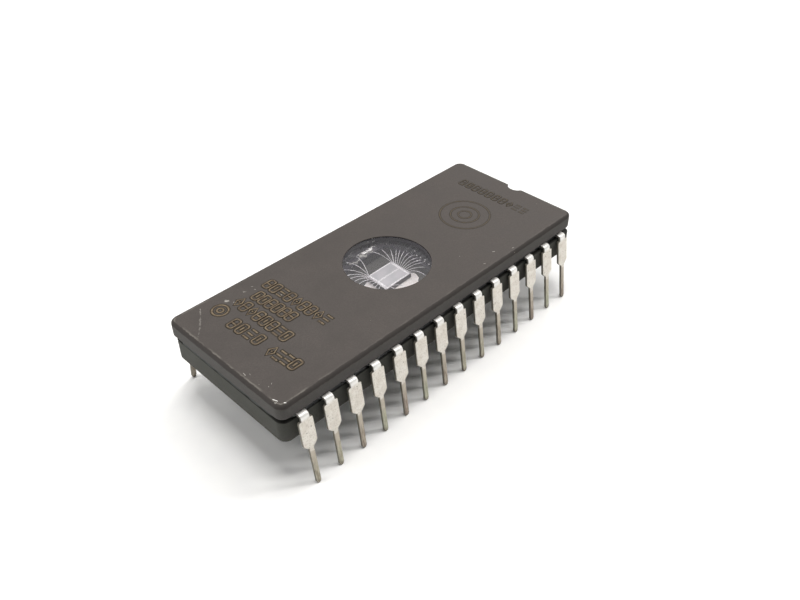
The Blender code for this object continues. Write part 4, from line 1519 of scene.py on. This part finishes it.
def print_layer(name, group, block, lift, line, *finish):
    """One colour of the print: its marks and rings, joined to one piece."""
    rows, rings, height, width, seed = block
    top = LID_HIGH.z - PRINT_HEIGHT
    material = ink(*finish)
    marks = run_tree(mark_points(rows, top + lift / 2), group, {
        "Mark Height": height, "Mark Width": width, "Line Width": line, "Line Height": lift,
        "Seed": seed, "Finish": material})
    bm = bmesh.new()
    bm.from_mesh(marks)
    for x, y, radius in rings:
        ring_band(bm, x * MM, y * MM, radius * MM - line / 2, radius * MM + line / 2,
                  top - PRINT_FOOT, top + lift)
    return place_piece(name, mesh_from(bm, name), "dark_ceramic", materials=[material])


def add_print():
    group = mark_tree()
    for name, (*block, marks, rim) in PRINT_BLOCKS.items():
        print_layer(f"print_{name}", group, block, PRINT_HEIGHT * 0.9, *marks)
        print_layer(f"print_{name}_rim", group, block, PRINT_HEIGHT * 0.45, *rim)


# Camera, floor and light

def add_camera():
    back = Vector((math.sin(CAMERA_AZIMUTH) * math.cos(CAMERA_ELEVATION),
                   -math.cos(CAMERA_AZIMUTH) * math.cos(CAMERA_ELEVATION),
                   math.sin(CAMERA_ELEVATION)))
    level = Vector((math.cos(CAMERA_AZIMUTH), math.sin(CAMERA_AZIMUTH), 0))
    up = back.cross(level)
    right = level * math.cos(CAMERA_ROLL) + up * math.sin(CAMERA_ROLL)
    top = -level * math.sin(CAMERA_ROLL) + up * math.cos(CAMERA_ROLL)
    data = bpy.data.cameras.new("camera")
    data.sensor_width = SENSOR_WIDTH
    data.lens = FOCAL_PIXELS / FRAME_WIDTH_PIXELS * SENSOR_WIDTH
    data.clip_start = 0.001
    data.clip_end = 10
    camera = link(bpy.data.objects.new("camera", data))
    camera.matrix_world = Matrix((right, top, back)).transposed().to_4x4()
    camera.location = CAMERA_TARGET + back * CAMERA_DISTANCE
    bpy.context.scene.camera = camera


def add_floor():
    bm = bmesh.new()
    bmesh.ops.create_grid(bm, x_segments=1, y_segments=1, size=1.5)
    material, shader, place = new_material("white_paper", Roughness=0.9, Specular_IOR_Level=0.1)
    fibre = fuzz(place, 0.4, 3.0).ramp(0.3, 0.7)
    feed(shader, {"Base Color": fibre.mix(color(247, 247, 247), color(250, 250, 249))})
    mesh = mesh_from(bm, "floor")
    mesh.materials.append(material)
    floor = link(bpy.data.objects.new("floor", mesh))


# Lamps: azimuth and elevation in degrees, share of the floor's light, and size in metres
SOFT_BOXES = ((0, 90, 0.53, 0.31), (0, 70, 0.22, 0.31), (150, 55, 0.15, 0.31),
              (330, 42, 0.14, 0.13), (22.5, 25, 0.09, 0.31))
BOX_DISTANCE = 0.8


def add_soft_box(azimuth, elevation, share, size):
    """A round lamp that looks at the part and gives this share of the floor's light."""
    turn = math.radians(azimuth)
    lift = math.radians(elevation)
    way = Vector((math.cos(lift) * math.cos(turn), math.cos(lift) * math.sin(turn), math.sin(lift)))
    data = bpy.data.lights.new("soft_box", "AREA")
    data.shape = "DISK"
    data.size = size
    data.energy = share * (math.pi * BOX_DISTANCE) ** 2 / way.z
    data.color = (1.0, 0.985, 0.965)
    lamp = link(bpy.data.objects.new("soft_box", data))
    lamp.location = way * BOX_DISTANCE
    lamp.rotation_euler = (-way).to_track_quat("-Z", "Y").to_euler()


# Bright patches of sky: direction, and strength from a far edge (as a cosine) to the middle
LIGHT_WALL = ((-0.70, 0.70, 0.139), 0.669, 1.9)
LIGHT_BEHIND = ((0.579, 0.579, 0.574), 0.5, 0.65)
SKY_FLOOR = 0.02


def lobe(direction, toward, edge, strength):
    """A soft patch of sky round a direction."""
    return vector("DOT_PRODUCT", direction, toward).ramp(edge, 1.0, 0.0, strength)


def add_light():
    """Soft round lamps, a low light wall at the left, a patch behind, and a dark camera side."""
    world = bpy.data.worlds.new("tent")
    bpy.context.scene.world = world
    world.use_nodes = True
    tree = world.node_tree
    direction = Field(add(tree, "ShaderNodeTexCoord").outputs["Generated"])
    sky = lobe(direction, *LIGHT_WALL) + lobe(direction, *LIGHT_BEHIND) + SKY_FLOOR
    feed(tree.nodes["Background"], {"Color": (0.99, 1.0, 1.0, 1.0), "Strength": sky})
    for box in SOFT_BOXES:
        add_soft_box(*box)
    bpy.context.scene.view_settings.view_transform = "Standard"


def main():
    add_camera()
    add_floor()
    add_light()
    frit = frit_glass()
    base_top = BASE_HIGH.z / MM
    add_lid(ceramic("lid_ceramic", (83, 78, 75), LID_HIGH.z / MM, marks=LID_MARKS),
            broken_ceramic(), frit)
    add_base(ceramic("base_ceramic", (76, 76, 71), base_top + BASE_RIM_LIFT, groove=base_top))
    add_window(window_lens())
    add_frit(frit)
    add_leads(lead_finish())
    wire_metal = bright_metal("bond_aluminium", (252, 250, 252), (236, 232, 236), 0.22, 6.0,
                              0.01 * MM, rim_shaded=True)
    add_die(die_surface(), wire_metal)
    add_wires(wire_metal)
    add_attach(bright_metal("attach_film", (255, 252, 248), (238, 228, 222), 0.42, 8.0, 0.05 * MM))
    add_print()


main()
